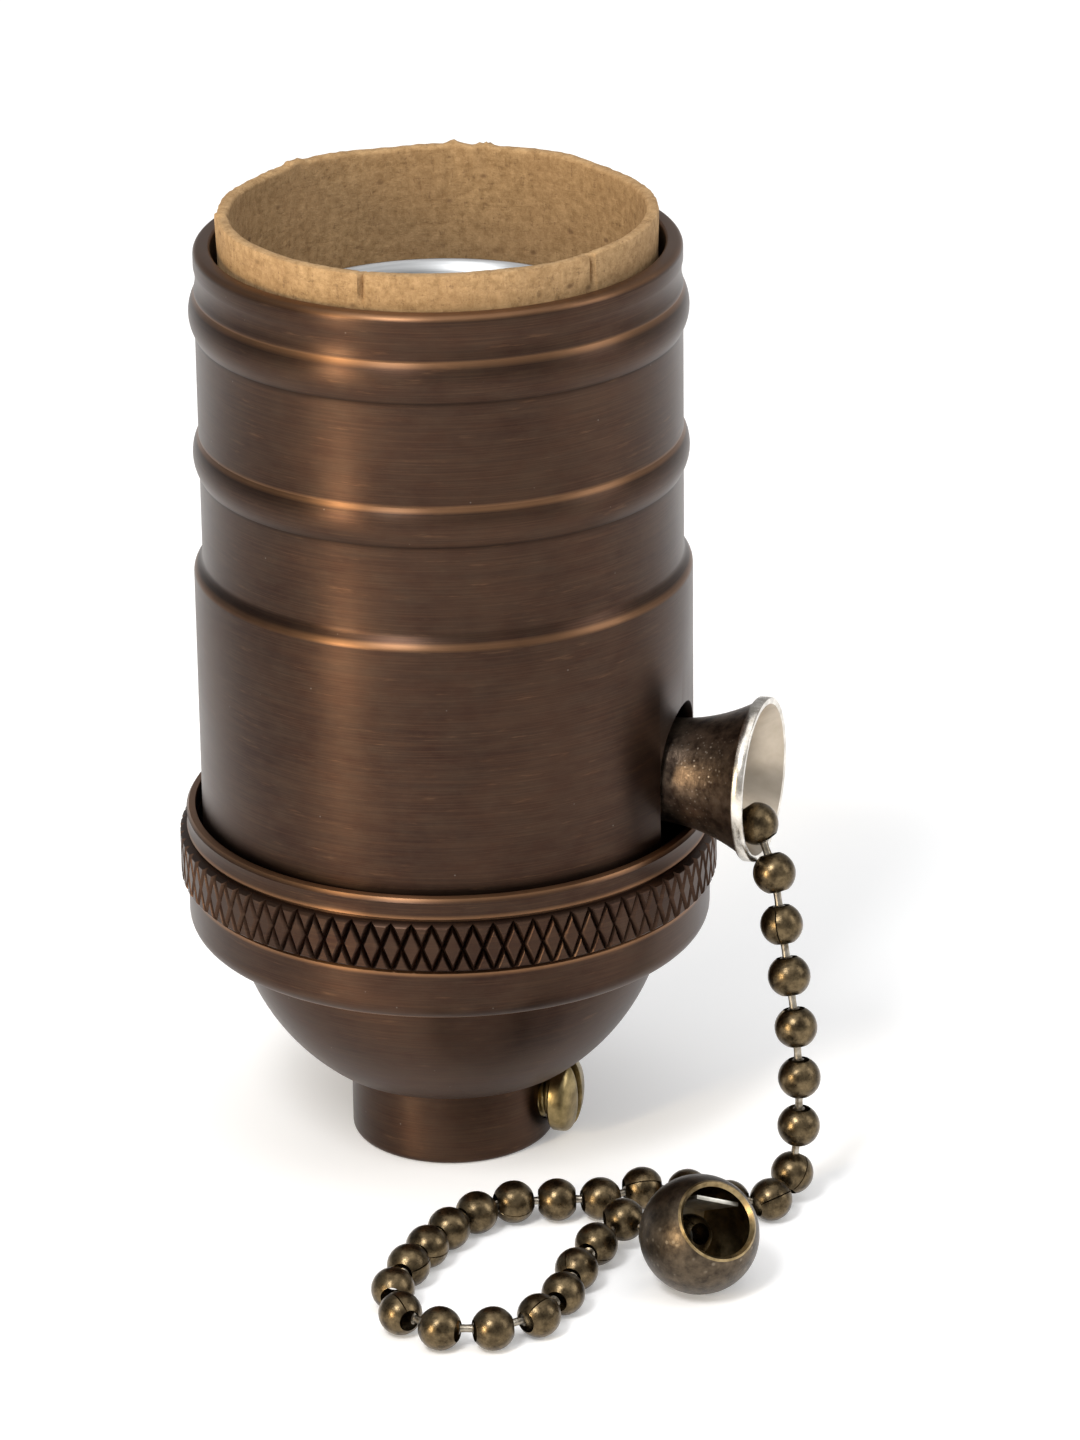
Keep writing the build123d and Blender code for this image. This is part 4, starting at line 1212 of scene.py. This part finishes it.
@dataclass
class Connector:
    """Hollow ball that joins chains, with a spring clip of thin sheet inside."""

    wall: float = 0.4
    mouth_r: float = 3.0
    tail_hole_r: float = 0.8
    clip_gap: float = 4.3
    clip_sheet: float = 0.30
    clip_reach: float = 1.75
    clip_depth: tuple[float, float] = (-2.55, 2.15)
    clip_hole_r: float = 0.7
    clip_turn: float = -24.0
    slit: float = 0.36
    centre: Vector = field(init=False)
    radius: float = field(init=False)
    mouth: Vector = field(init=False)
    tail: Vector = field(init=False)
    shell_piece: bpy.types.Object = field(init=False)
    clip_piece: bpy.types.Object = field(init=False)

    def __post_init__(self) -> None:
        """Read the ball's place from the frame, and name its two directions."""
        low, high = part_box("connector_shell")
        self.centre = (low + high) / 2
        self.radius = (high.x - low.x) / 2
        self.mouth = Vector((0.575, -0.48, 0.662)).normalized()
        self.tail = Vector((-0.70, 0.56, -0.445)).normalized()

    def build_shell(self) -> None:
        """Model the hollow ball: its mouth bisected flat, its wall given a thickness, its tail bored."""
        bpy.ops.object.select_all(action="DESELECT")
        bpy.ops.mesh.primitive_uv_sphere_add(
            segments=96,
            ring_count=64,
            radius=self.radius,
            location=self.centre,
            rotation=self.mouth.to_track_quat("Z", "Y").to_euler(),
        )
        ball = bpy.context.object
        bpy.ops.object.transform_apply(location=True, rotation=True, scale=True)
        rise = math.sqrt(self.radius**2 - (self.mouth_r * MM) ** 2)
        open_piece(ball)
        bpy.ops.mesh.bisect(plane_co=self.centre + self.mouth * rise, plane_no=self.mouth, clear_outer=True)
        close_piece()
        apply_modifier(ball, "SOLIDIFY", thickness=self.wall * MM, offset=-1.0)
        near, far = (self.centre + self.tail * reach for reach in (0.002, 0.006))
        cut(ball, rod(self.tail_hole_r * MM, near, far))
        soften(ball, 0.07)
        settle(ball, "connector_ball")
        coat(ball, CONNECTOR_BRONZE.material(), PAINTED_LIGHT_BRASS.material())
        # The inside faces and the mouth's lip take the brighter brass, as painted light inside and a painted
        # highlight on the lip.
        for face in ball.data.polygons:
            away = (face.center - self.centre).dot(self.mouth)
            lip = away > rise - 0.00012 and face.normal.dot(self.mouth) > 0.35
            inside = face.normal.dot(face.center - self.centre) < 0
            if inside or (lip and self.near_mouth(face.center)):
                face.material_index = 1
        self.shell_piece = ball
        place_piece(ball, "pull_train", "connector_shell")

    def near_mouth(self, point: Vector) -> bool:
        """Whether a point is close enough to the mouth's axis to be on its lip.

        Args:
            point: The point.

        Returns:
            Whether it is.
        """
        offset = point - self.centre
        flat = (offset - self.mouth * offset.dot(self.mouth)).length
        return flat < (self.mouth_r + 0.07) * MM

    def build_clip(self) -> None:
        """Model the clip: two cheeks, one of them slit, joined by a strip with a hole in it."""
        near, far = self.clip_depth
        half, sheet = self.clip_gap / 2, self.clip_sheet
        reach, gap = self.clip_reach, self.slit / 2
        boxes = [
            ((-reach, -half - sheet, near), (reach, -half, far)),
            ((-reach, half, near), (-gap, half + sheet, far)),
            ((gap, half, near), (reach, half + sheet, far)),
            ((-reach, -half - sheet, near - sheet), (reach, half + sheet, near)),
        ]
        sheets = [block([v * MM for v in low], [v * MM for v in high]) for low, high in boxes]
        cut(sheets[-1], rod(self.clip_hole_r * MM, Vector((0, 0, near * 2 * MM)), Vector((0, 0, 0))))
        clip = join(sheets)
        soften(clip, 0.05)
        axis = -self.tail
        level = Vector((0, 0, 1)).cross(self.tail).normalized()
        across = Matrix.Rotation(math.radians(self.clip_turn), 3, axis) @ level
        upright = axis.cross(across)
        turned = Matrix((across, upright, axis)).transposed().to_4x4()
        clip.matrix_world = Matrix.Translation(self.centre) @ turned
        settle(clip, "connector_spring_clip")
        coat(clip, CLIP_STEEL.material())
        self.clip_piece = clip
        place_piece(clip, "pull_train", "connector_clip")

    def build(self) -> None:
        """Build both pieces of the connector."""
        self.build_shell()
        self.build_clip()


# ---- cap ---------------------------------------------------------------------------------------------


@dataclass
class Cap:
    """The turned cap: threaded neck, bowl, band with its diamond knurl, and the rim that holds the shell."""

    neck_r: float = 7.7
    bore_r: float = 4.58
    bore_top: float = 8.4
    bowl_r: float = 16.5
    bowl_z: float = 19.8
    bowl_inner_r: float = 15.2
    join_r: float = 10.0
    band_bottom: float = 17.3
    band_r: float = 19.6
    seat: tuple[float, float] = (18.9, 20.9)
    top: float = 27.2
    knurl: tuple[float, float] = (21.55, 25.35)
    knurl_r: float = 20.2
    knurl_depth: float = 0.44
    knurl_count: int = 84
    knurl_rows: int = 2
    knurl_cell: float = 3.72
    pad_insets: tuple[tuple[float, float], ...] = ((0.15, 0.30), (0.10, 0.07))
    thread_pitch: float = 0.941
    thread_depth: float = 0.5
    screw_z: float = 3.5
    screw_hole_r: float = 2.05

    def outline(self) -> list[tuple[float, float]]:
        """The section of the cap.

        Returns:
            Points as (radius, height).
        """
        join_z = self.bowl_z - math.sqrt(self.bowl_r**2 - self.join_r**2)
        start = math.degrees(math.asin(-(self.bowl_z - join_z) / self.bowl_r))
        end = math.degrees(math.asin(-(self.bowl_z - self.band_bottom) / self.bowl_r))
        floor_r = math.sqrt(self.bowl_inner_r**2 - (self.bowl_z - self.bore_top) ** 2)
        low = math.degrees(math.asin(-(self.bowl_z - self.bore_top) / self.bowl_inner_r))
        bottom, top = self.knurl
        edge_r, band_edge_r = 0.55, 1.5
        points = [(self.bore_r + 0.45, 0.0), (self.neck_r - edge_r, 0.0)]
        points += arc((self.neck_r - edge_r, edge_r), edge_r, -72, 0, 5)
        points += [(self.neck_r, 2.0), (self.neck_r, 5.0)]
        points += arc((self.neck_r + 1.0, 5.5), 1.0, 180, 118, 5)
        points += arc((0, self.bowl_z), self.bowl_r, start, end, 22)
        points += [(self.bowl_r + 0.15, self.band_bottom), (self.band_r - band_edge_r, self.band_bottom)]
        points += arc((self.band_r - band_edge_r, self.band_bottom + band_edge_r), band_edge_r, -70, 0, 7)
        points += [(self.band_r, bottom - 0.25), (self.band_r - 0.2, bottom - 0.1)]
        points += [(self.band_r - 0.2, top + 0.1), (self.band_r, top + 0.25)]
        points += [(self.band_r - 0.12, top + 0.9), (self.band_r, self.top - 0.35)]
        points += [(self.band_r - 0.18, self.top - 0.06), (self.band_r - 0.4, self.top)]
        points += [(self.seat[0] + 0.05, self.top), (self.seat[0], self.top - 0.1)]
        points += [self.seat, (self.bowl_inner_r, self.seat[1])]
        points += arc((0, self.bowl_z), self.bowl_inner_r, 0, low, 12)
        points += [(floor_r - 0.4, self.bore_top)]
        rings = 54
        points += [(self.bore_r, self.bore_top * (1 - step / rings)) for step in range(rings)]
        return points

    def body(self) -> bpy.types.Object:
        """Turn the cap, roll its thread and bore the set screw's hole.

        Returns:
            The cap without its knurl.
        """
        piece = turn(self.outline())
        inner = (self.bore_r + 0.1) * MM
        roll_thread(
            piece,
            lambda at: math.hypot(at.x, at.y) < inner and at.z < (self.bore_top - 0.01) * MM,
            self.thread_pitch * MM,
            self.thread_depth * MM,
        )
        height = self.screw_z * MM
        cut(piece, rod(self.screw_hole_r * MM, Vector((0.003, 0, height)), Vector((0.0095, 0, height))))
        soften(piece, 0.07, angle=30)
        return piece

    def knurled_ring(self) -> bpy.types.Object:
        """Model the ring of raised diamonds that two crossing sets of grooves leave.

        Returns:
            The ring, closed at its back.
        """
        bottom, top = self.knurl
        middle = (bottom + top) / 2
        root = self.knurl_r - self.knurl_depth
        lowest = middle - self.knurl_rows / 2 * self.knurl_cell
        outline = [(root, lowest + self.knurl_cell * row) for row in range(self.knurl_rows + 1)]
        ring = turn(outline, segments=self.knurl_count, closed=False)
        open_piece(ring)
        levels = [height for _, height in outline[1:-1]]
        bpy.ops.mesh.poke()
        choose(ring, Part.EDGES, lambda at: self.on_grid(at, levels, root))
        bpy.ops.mesh.dissolve_edges(use_verts=False)
        close_piece()
        for vertex in ring.data.vertices:
            flat = math.hypot(vertex.co.x, vertex.co.y)
            share = root * MM / flat
            vertex.co = (vertex.co.x * share, vertex.co.y * share, vertex.co.z)
        open_piece(ring)
        for level, side in ((top, 1), (bottom, -1)):
            bpy.ops.mesh.select_all(action="SELECT")
            bpy.ops.mesh.bisect(plane_co=(0, 0, level * MM), plane_no=(0, 0, side), clear_outer=True)
        bpy.ops.mesh.select_mode(type="FACE")
        bpy.ops.mesh.select_all(action="SELECT")
        bpy.ops.mesh.normals_make_consistent(inside=False)
        for thickness, depth in self.pad_insets:
            bpy.ops.mesh.inset(use_individual=True, thickness=thickness * MM, depth=depth * MM)
        bpy.ops.mesh.select_mode(type="EDGE")
        bpy.ops.mesh.select_all(action="DESELECT")
        bpy.ops.mesh.select_non_manifold()
        bpy.ops.mesh.extrude_region_move(TRANSFORM_OT_translate={"value": (0, 0, 0)})
        share = (self.band_r - 0.6) / root
        bpy.ops.transform.resize(value=(share, share, 1), center_override=(0, 0, middle * MM))
        bpy.ops.mesh.bridge_edge_loops()
        close_piece()
        return ring

    def on_grid(self, at: Vector, levels: Sequence[float], root: float) -> bool:
        """Whether an edge is on the ring's first grid, which goes, and not on the crossing lines.

        Args:
            at: The edge's middle.
            levels: Heights of the grid's inner rings.
            root: The ring's radius.

        Returns:
            Whether it is.
        """
        flat = math.hypot(at.x, at.y) / MM
        turns = math.atan2(at.y, at.x) / (2 * math.pi / self.knurl_count)
        upright = abs(turns - round(turns)) < 0.05 and abs(flat - root) < 0.001
        return upright or any(abs(at.z / MM - height) < 0.01 for height in levels)

    def build(self) -> None:
        """Build the cap and its knurl as one piece."""
        piece = settle(join([self.body(), self.knurled_ring()]), "cap_turned")
        bottom, top = self.knurl
        # Rubbed wear with painted highlight along the edges of the band and the knurl.
        edges = (self.band_bottom + 0.1, bottom - 0.3, top + 0.25, self.top - 0.05)
        finish = RubbedBronze(
            "cap_bronze", highlight_and_wear_heights=tuple(level * MM for level in edges), span=(0.0, 0.03), ridge_width=0.00028
        )
        coat(piece, finish.material())
        place_piece(piece, "socket", "cap")


@dataclass
class SetScrew:
    """The slotted screw that locks the pipe in the neck."""

    shank_r: float = 2.0
    head_r: float = 2.82
    head: float = 1.85
    head_edge: float = 0.9
    head_gap: float = 0.45
    slot: float = 1.0
    slot_depth: float = 1.0
    thread_pitch: float = 0.7
    thread_depth: float = 0.3

    def blank(self, start: float, end: float) -> bpy.types.Object:
        """Turn the screw along Z and roll its thread.

        Args:
            start: Height of the shank's free end.
            end: Height of the head's crown.

        Returns:
            The screw before its slot is cut.
        """
        under = end - self.head
        rings = 24
        thread_start, crown = start + 0.2, self.head - self.head_edge
        turns = [math.radians(angle) for angle in range(0, 81, 10)]
        shank = [
            (self.shank_r, thread_start + (under - thread_start) * step / rings) for step in range(rings + 1)
        ]
        outline = [(self.shank_r * 0.5, start), (self.shank_r - 0.2, start)] + shank
        outline += [(self.head_r - 0.15, under), (self.head_r, under + 0.15)]
        outline += [
            (self.head_r * math.cos(t), under + self.head_edge + crown * math.sin(t)) for t in turns
        ]
        screw = turn(outline, segments=72, closed=False)
        open_piece(screw)
        for low, high in ((start - 0.001, start + 0.001), (end - 0.03, end + 0.001)):
            choose(screw, Part.EDGES, lambda at, a=low, b=high: self.on_end(at, a, b))
            bpy.ops.mesh.edge_face_add()
        close_piece()
        wall = (self.shank_r - 0.1, self.shank_r + 0.01)
        roll_thread(
            screw,
            lambda at: (
                thread_start - 0.01 < at.z / MM < under + 0.01
                and wall[0] < math.hypot(at.x, at.y) / MM < wall[1]
            ),
            self.thread_pitch * MM,
            -self.thread_depth * MM,
        )
        return screw

    def on_end(self, at: Vector, low: float, high: float) -> bool:
        """Whether a point is between two heights and on an end's open ring."""
        return low < at.z / MM < high and math.hypot(at.x, at.y) / MM < 0.52 * self.shank_r

    def build(self) -> None:
        """Turn the screw with its domed head, slot it and dress it."""
        low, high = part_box("set_screw")
        height = (low.z + high.z) / 2
        start, end = low.x / MM, high.x / MM - self.head_gap
        screw = self.blank(start, end)
        lay_along_x(screw, height)
        half, floor = self.slot / 2 * MM, (end - self.slot_depth) * MM
        cut(screw, block((floor, -half, height - 0.004), (high.x + 0.001, half, height + 0.004)))
        soften(screw, 0.06)
        settle(screw, "set_screw_slotted")
        coat(screw, SCREW_BRASS.material())
        place_piece(screw, "set_screw", "set_screw")


# ---- shell, liner and lamp contacts -------------------------------------------------------------------


@dataclass
class OuterShell:
    """The tall spun shell with its step, two rolled beads, cove and turned-in mouth."""

    wall_r: float = 18.4
    upper_r: float = 17.75
    bead_rise: float = 0.45
    step: tuple[float, float] = (45.75, 47.1)
    beads: tuple[tuple[float, float], ...] = ((53.5, 56.5), (64.25, 67.3))
    cove: tuple[float, float] = (67.5, 69.3)
    cove_rise: float = -0.12
    rim_edge_r: float = 0.55
    bore_r: float = 17.2
    mouth_r: float = 16.5
    slot_half: float = 4.2
    slot_z: float = 32.3
    slot_reach: tuple[float, float] = (0.0155, 0.022)

    def outline(self, bottom: float, top: float) -> list[tuple[float, float]]:
        """The section of the shell.

        Args:
            bottom: Its lowest height.
            top: Its highest.

        Returns:
            Points as (radius, height).
        """
        low, high = self.step
        points = [(self.wall_r - 0.1, bottom), (self.wall_r, bottom + 0.1), (self.wall_r, low - 6)]
        steps = 12
        for share in (count / steps for count in range(steps + 1)):
            ease = share * share * (3 - 2 * share)
            points.append((self.wall_r + (self.upper_r - self.wall_r) * ease, low + (high - low) * share))
        for start, end in self.beads:
            points += swell(start, end, self.upper_r, self.bead_rise)
        points += swell(*self.cove, self.upper_r, self.cove_rise)
        points += arc((self.upper_r - self.rim_edge_r, top - self.rim_edge_r), self.rim_edge_r, 0, 75, 5)
        points += [(self.mouth_r + 0.15, top), (self.mouth_r, top - 0.15)]
        points += [(self.mouth_r, high + 0.6), (self.bore_r, high - 0.3), (self.bore_r, bottom)]
        return points

    def build(self) -> None:
        """Turn the shell, cut the spout's slot out of it and dress it."""
        low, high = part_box("outer_shell")
        piece = turn(self.outline(low.z / MM, high.z / MM), segments=240)
        cut_slot(piece, self.slot_half * MM, (low.z, self.slot_z * MM), self.slot_reach, 72)
        soften(piece, 0.07)
        settle(piece, "outer_shell_spun")
        # Painted highlight with rubbed wear along the top edges of the step, the beads and the rim.
        edges = [self.step[0] + 0.35] + [bead[1] - 0.1 for bead in self.beads] + [high.z / MM - 0.12]
        finish = RubbedBronze(
            "shell_bronze",
            highlight_and_wear_heights=tuple(level * MM for level in edges),
            # Painted shadow lines just under each bead's lower edge.
            painted_shadow_heights=tuple((bead[0] - 0.02) * MM for bead in self.beads),
            span=(0.02, 0.075),
            ridge_width=0.00026,
        )
        coat(piece, finish.material())
        place_piece(piece, "shell", "outer_shell")


@dataclass
class Liner:
    """The rolled board tube inside the shell: its torn top edge, creases and slot."""

    wall: float = 0.9
    slot_half: float = 4.5
    slot_z: float = 32.3
    slot_reach: tuple[float, float] = (0.012, 0.018)
    torn: float = 2.6
    creases: tuple[float, ...] = (-91.0, -28.0)
    crease_depth: float = 0.45
    frays: tuple[tuple[float, float], ...] = ((151.0, 0.55), (104.0, 0.35), (95.0, 0.45), (-158.0, 0.25))

    def roughen(self, piece: bpy.types.Object, top: float, radius: float) -> None:
        """Tear the top edge, score the creases and ripple the walls.

        Args:
            piece: The turned tube.
            top: Its highest height in metres.
            radius: Its outer radius in metres.
        """
        reach = self.torn * MM
        for vertex in piece.data.vertices:
            place = vertex.co
            flat = math.hypot(place.x, place.y)
            angle = math.degrees(math.atan2(place.y, place.x))
            share = max(0.0, (place.z - (top - reach)) / reach)
            direction = Vector((place.x / flat, place.y / flat, 0))
            outer = flat > radius - 0.5 * self.wall * MM
            slow = noise.noise(direction * 2.1 + Vector((0, 0, 3.0)))
            quick = noise.noise(direction * 26 + Vector((0, 0, 0.0 if outer else 9.0)))
            drop = share * (0.00022 * slow + 0.00005 * quick + 0.00032)
            push = share * (0.00016 * slow + 0.00004 * quick)
            push += 0.00004 * noise.noise(place * 400)
            for middle, rise in self.frays:
                gap = abs((angle - middle + 180) % 360 - 180)
                bump = max(0.0, 1 - gap / 3.2)
                drop += share * bump * rise * MM * (0.6 + quick)
                push += share * bump * 0.00018
            for middle in self.creases:
                gap = abs((angle - middle + 180) % 360 - 180)
                push -= max(0.0, 1 - gap / 0.9) * self.crease_depth * MM * min(1.0, share * 2.2)
                drop -= max(0.0, 1 - gap / 1.6) * 0.00018 * share
            vertex.co = place + direction * push + Vector((0, 0, drop))

    def build(self) -> None:
        """Turn the tube, roughen it, cut its slot and dress it."""
        low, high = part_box("shell_liner")
        outer, bottom, top = high.y / MM, low.z / MM, high.z / MM
        inner = outer - self.wall
        levels = [bottom, bottom + 8, bottom + 20]
        levels += [top - drop for drop in (9, 6, 4.2, 2.7, 2.1, 1.6, 1.1, 0.65, 0.3)]
        points = [(outer, level) for level in levels]
        points += [(outer - 0.05, top - 0.08), (outer - 0.25, top), (outer - 0.45, top - 0.02)]
        points += [(inner + 0.2, top - 0.03), (inner + 0.03, top - 0.14)]
        points += [(inner, level) for level in reversed(levels)]
        piece = turn(points, segments=360)
        self.roughen(piece, high.z, high.y)
        cut_slot(piece, self.slot_half * MM, (low.z, self.slot_z * MM), self.slot_reach, 48)
        settle(piece, "shell_liner_board", angle=50)
        coat(piece, KRAFT.material())
        place_piece(piece, "shell", "shell_liner")


@dataclass
class LampShell:
    """The rolled screw shell that takes the lamp: plain skirt, rolled thread and flared rim."""

    rings: int = 44
    bore_r: float = 12.35
    sheet: float = 0.35
    pitch: float = 3.629
    crest: float = 0.75
    skirt_r: float = 12.1
    skirt_top: float = 49.6
    floor_bore_r: float = 7.0
    rivet_x: float = 9.4
    rivet_hole_r: float = 0.95

    def build(self) -> None:
        """Turn the shell with many rings, roll its thread, and bore its floor for the rivets."""
        low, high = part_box("screw_shell")
        bottom, top, rim_r = low.z / MM, high.z / MM, high.x / MM
        start, end = self.skirt_top + 0.1, top - 1.2
        levels = [start + (end - start) * step / self.rings for step in range(self.rings + 1)]
        outer, skirt, floor = self.bore_r + self.sheet, self.skirt_r + self.sheet, bottom + self.sheet
        points = [(self.floor_bore_r, bottom), (skirt - 0.3, bottom)]
        points += [(skirt, bottom + 0.3), (skirt, self.skirt_top - 0.3)]
        points += [(outer, level) for level in levels]
        points += [(rim_r - 0.25, top - 0.5), (rim_r, top - 0.25)]
        points += [(rim_r - 0.05, top - 0.05), (rim_r - 0.3, top)]
        points += [(rim_r - 0.55, top - 0.15), (self.bore_r + 0.1, top - 0.95)]
        points += [(self.bore_r, level) for level in reversed(levels)]
        points += [(self.skirt_r, self.skirt_top), (self.skirt_r, floor + 0.4)]
        points += [(self.skirt_r - 0.4, floor), (self.floor_bore_r, floor)]
        piece = turn(points, segments=160)
        roll_thread(piece, lambda at: start * MM < at.z < end * MM, self.pitch * MM, self.crest * MM)
        for side in (1, -1):
            hole = Vector((side * self.rivet_x * MM, 0, low.z))
            reach = Vector((0, 0, 0.001))
            cut(piece, rod(self.rivet_hole_r * MM, hole - reach, hole + reach))
        settle(piece, "lamp_screw_shell")
        coat(piece, ROLLED_ALUMINIUM.material())
        place_piece(piece, "socket", "screw_shell")


# ---- spout -------------------------------------------------------------------------------------------


@dataclass
class Spout:
    """The chain's spout: a flanged tube that flares into a bell with a bright lip."""

    tube_r: float = 3.85
    wall: float = 0.55
    flange: tuple[float, float] = (0.9, 5.0)
    flare_start: float = 16.8
    lip: float = 0.85

    def flare(self, start_r: float, end: tuple[float, float], steps: int) -> list[tuple[float, float]]:
        """An arc tangent to the tube that ends at a point of the lip.

        Args:
            start_r: The tube's radius where the flare begins.
            end: The last point as (radius, distance along the spout).
            steps: How many spans the arc has.

        Returns:
            Points as (radius, distance), without the first.
        """
        run, rise = end[1] - self.flare_start, end[0] - start_r
        radius = (run**2 + rise**2) / (2 * rise)
        shares = [step / steps for step in range(1, steps + 1)]
        return [
            (start_r + radius - math.sqrt(radius**2 - (run * s) ** 2), self.flare_start + run * s)
            for s in shares
        ]

    def build(self) -> None:
        """Turn the spout along X, dress its outside, its lip and the inside of its bell."""
        low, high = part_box("spout")
        height = (low.z + high.z) / 2
        root, mouth = low.x / MM, high.x / MM
        mouth_r = (high.z - low.z) / 2 / MM
        bore = self.tube_r - self.wall
        neck = (mouth_r - 0.32, mouth - self.lip - 0.03)
        points = [(bore, root), (self.flange[1], root), (self.flange[1], root + self.flange[0])]
        points += [(self.tube_r, root + self.flange[0]), (self.tube_r, 14.6), (self.tube_r, self.flare_start)]
        points += self.flare(self.tube_r, neck, 12)
        points += [(mouth_r - 0.05, mouth - self.lip), (mouth_r, mouth - self.lip + 0.08)]
        points += [(mouth_r, mouth - 0.12), (mouth_r - 0.08, mouth - 0.02), (mouth_r - 0.3, mouth)]
        inside = self.flare(bore, (mouth_r - 0.5, mouth - 0.06), 14)
        points += list(reversed(inside)) + [(bore, self.flare_start)]
        piece = turn(points, segments=112)
        lay_along_x(piece, height)
        settle(piece, "chain_spout", angle=40)
        coat(piece, MOTTLED_BRONZE.material(), BRIGHT_RIM.material(), SATIN_NICKEL.material())
        edge = high.x - (self.lip + 0.02) * MM
        for face in piece.data.polygons:
            middle = face.center
            flat = math.hypot(middle.y, middle.z - height)
            inward = face.normal.y * middle.y + face.normal.z * (middle.z - height) < 0
            if middle.x > edge and flat > (mouth_r - 0.42) * MM:
                face.material_index = 1
            elif inward and middle.x > self.flare_start * MM:
                face.material_index = 2
        place_piece(piece, "socket", "spout")


# ---- switch and moulded interior, shown as the CAD model has them ---------------------------------------


@dataclass(frozen=True)
class Interior:
    """The CAD nodes inside the shell, each given its finish."""

    moulded: tuple[str, ...] = ("interior_base", "interior_top", "rotor")
    fibre: tuple[str, ...] = ("cap_insulator",)
    steel: tuple[str, ...] = ("body_screws", "pawl", "ratchet_wheel", "rotor_shaft", "return_spring")
    contacts: tuple[str, ...] = ("centre_contact", "contact_rivet", "contact_bridge", "fixed_contacts")
    brass: tuple[str, ...] = ("hot_plate", "hot_screw", "pull_slider", "detent_spring")
    nickel: tuple[str, ...] = ("neutral_plate", "neutral_screw")
    aluminium: tuple[str, ...] = ("shell_rivets",)

    def build(self) -> None:
        """Dress every node that keeps its CAD shape."""
        for finish, names in (
            (PHENOLIC, self.moulded),
            (FIBRE, self.fibre),
            (PLATED_STEEL, self.steel),
            (PLAIN_BRASS, self.contacts + self.brass),
            (NICKEL_PLATE, self.nickel),
            (ROLLED_ALUMINIUM, self.aluminium),
        ):
            material = finish.material()
            for name in names:
                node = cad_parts[name]
                node.data.materials.clear()
                coat(node, material)
                LOG.info("%s: %s", name, material.name)


def main() -> None:
    logging.basicConfig(level=logging.INFO, format="%(name)s %(message)s")
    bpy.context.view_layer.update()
    Studio().build()
    connector = Connector()
    connector.build()
    BallChain().build(connector)
    Cap().build()
    SetScrew().build()
    OuterShell().build()
    Liner().build()
    LampShell().build()
    Spout().build()
    Interior().build()


if __name__ == "__main__":
    main()
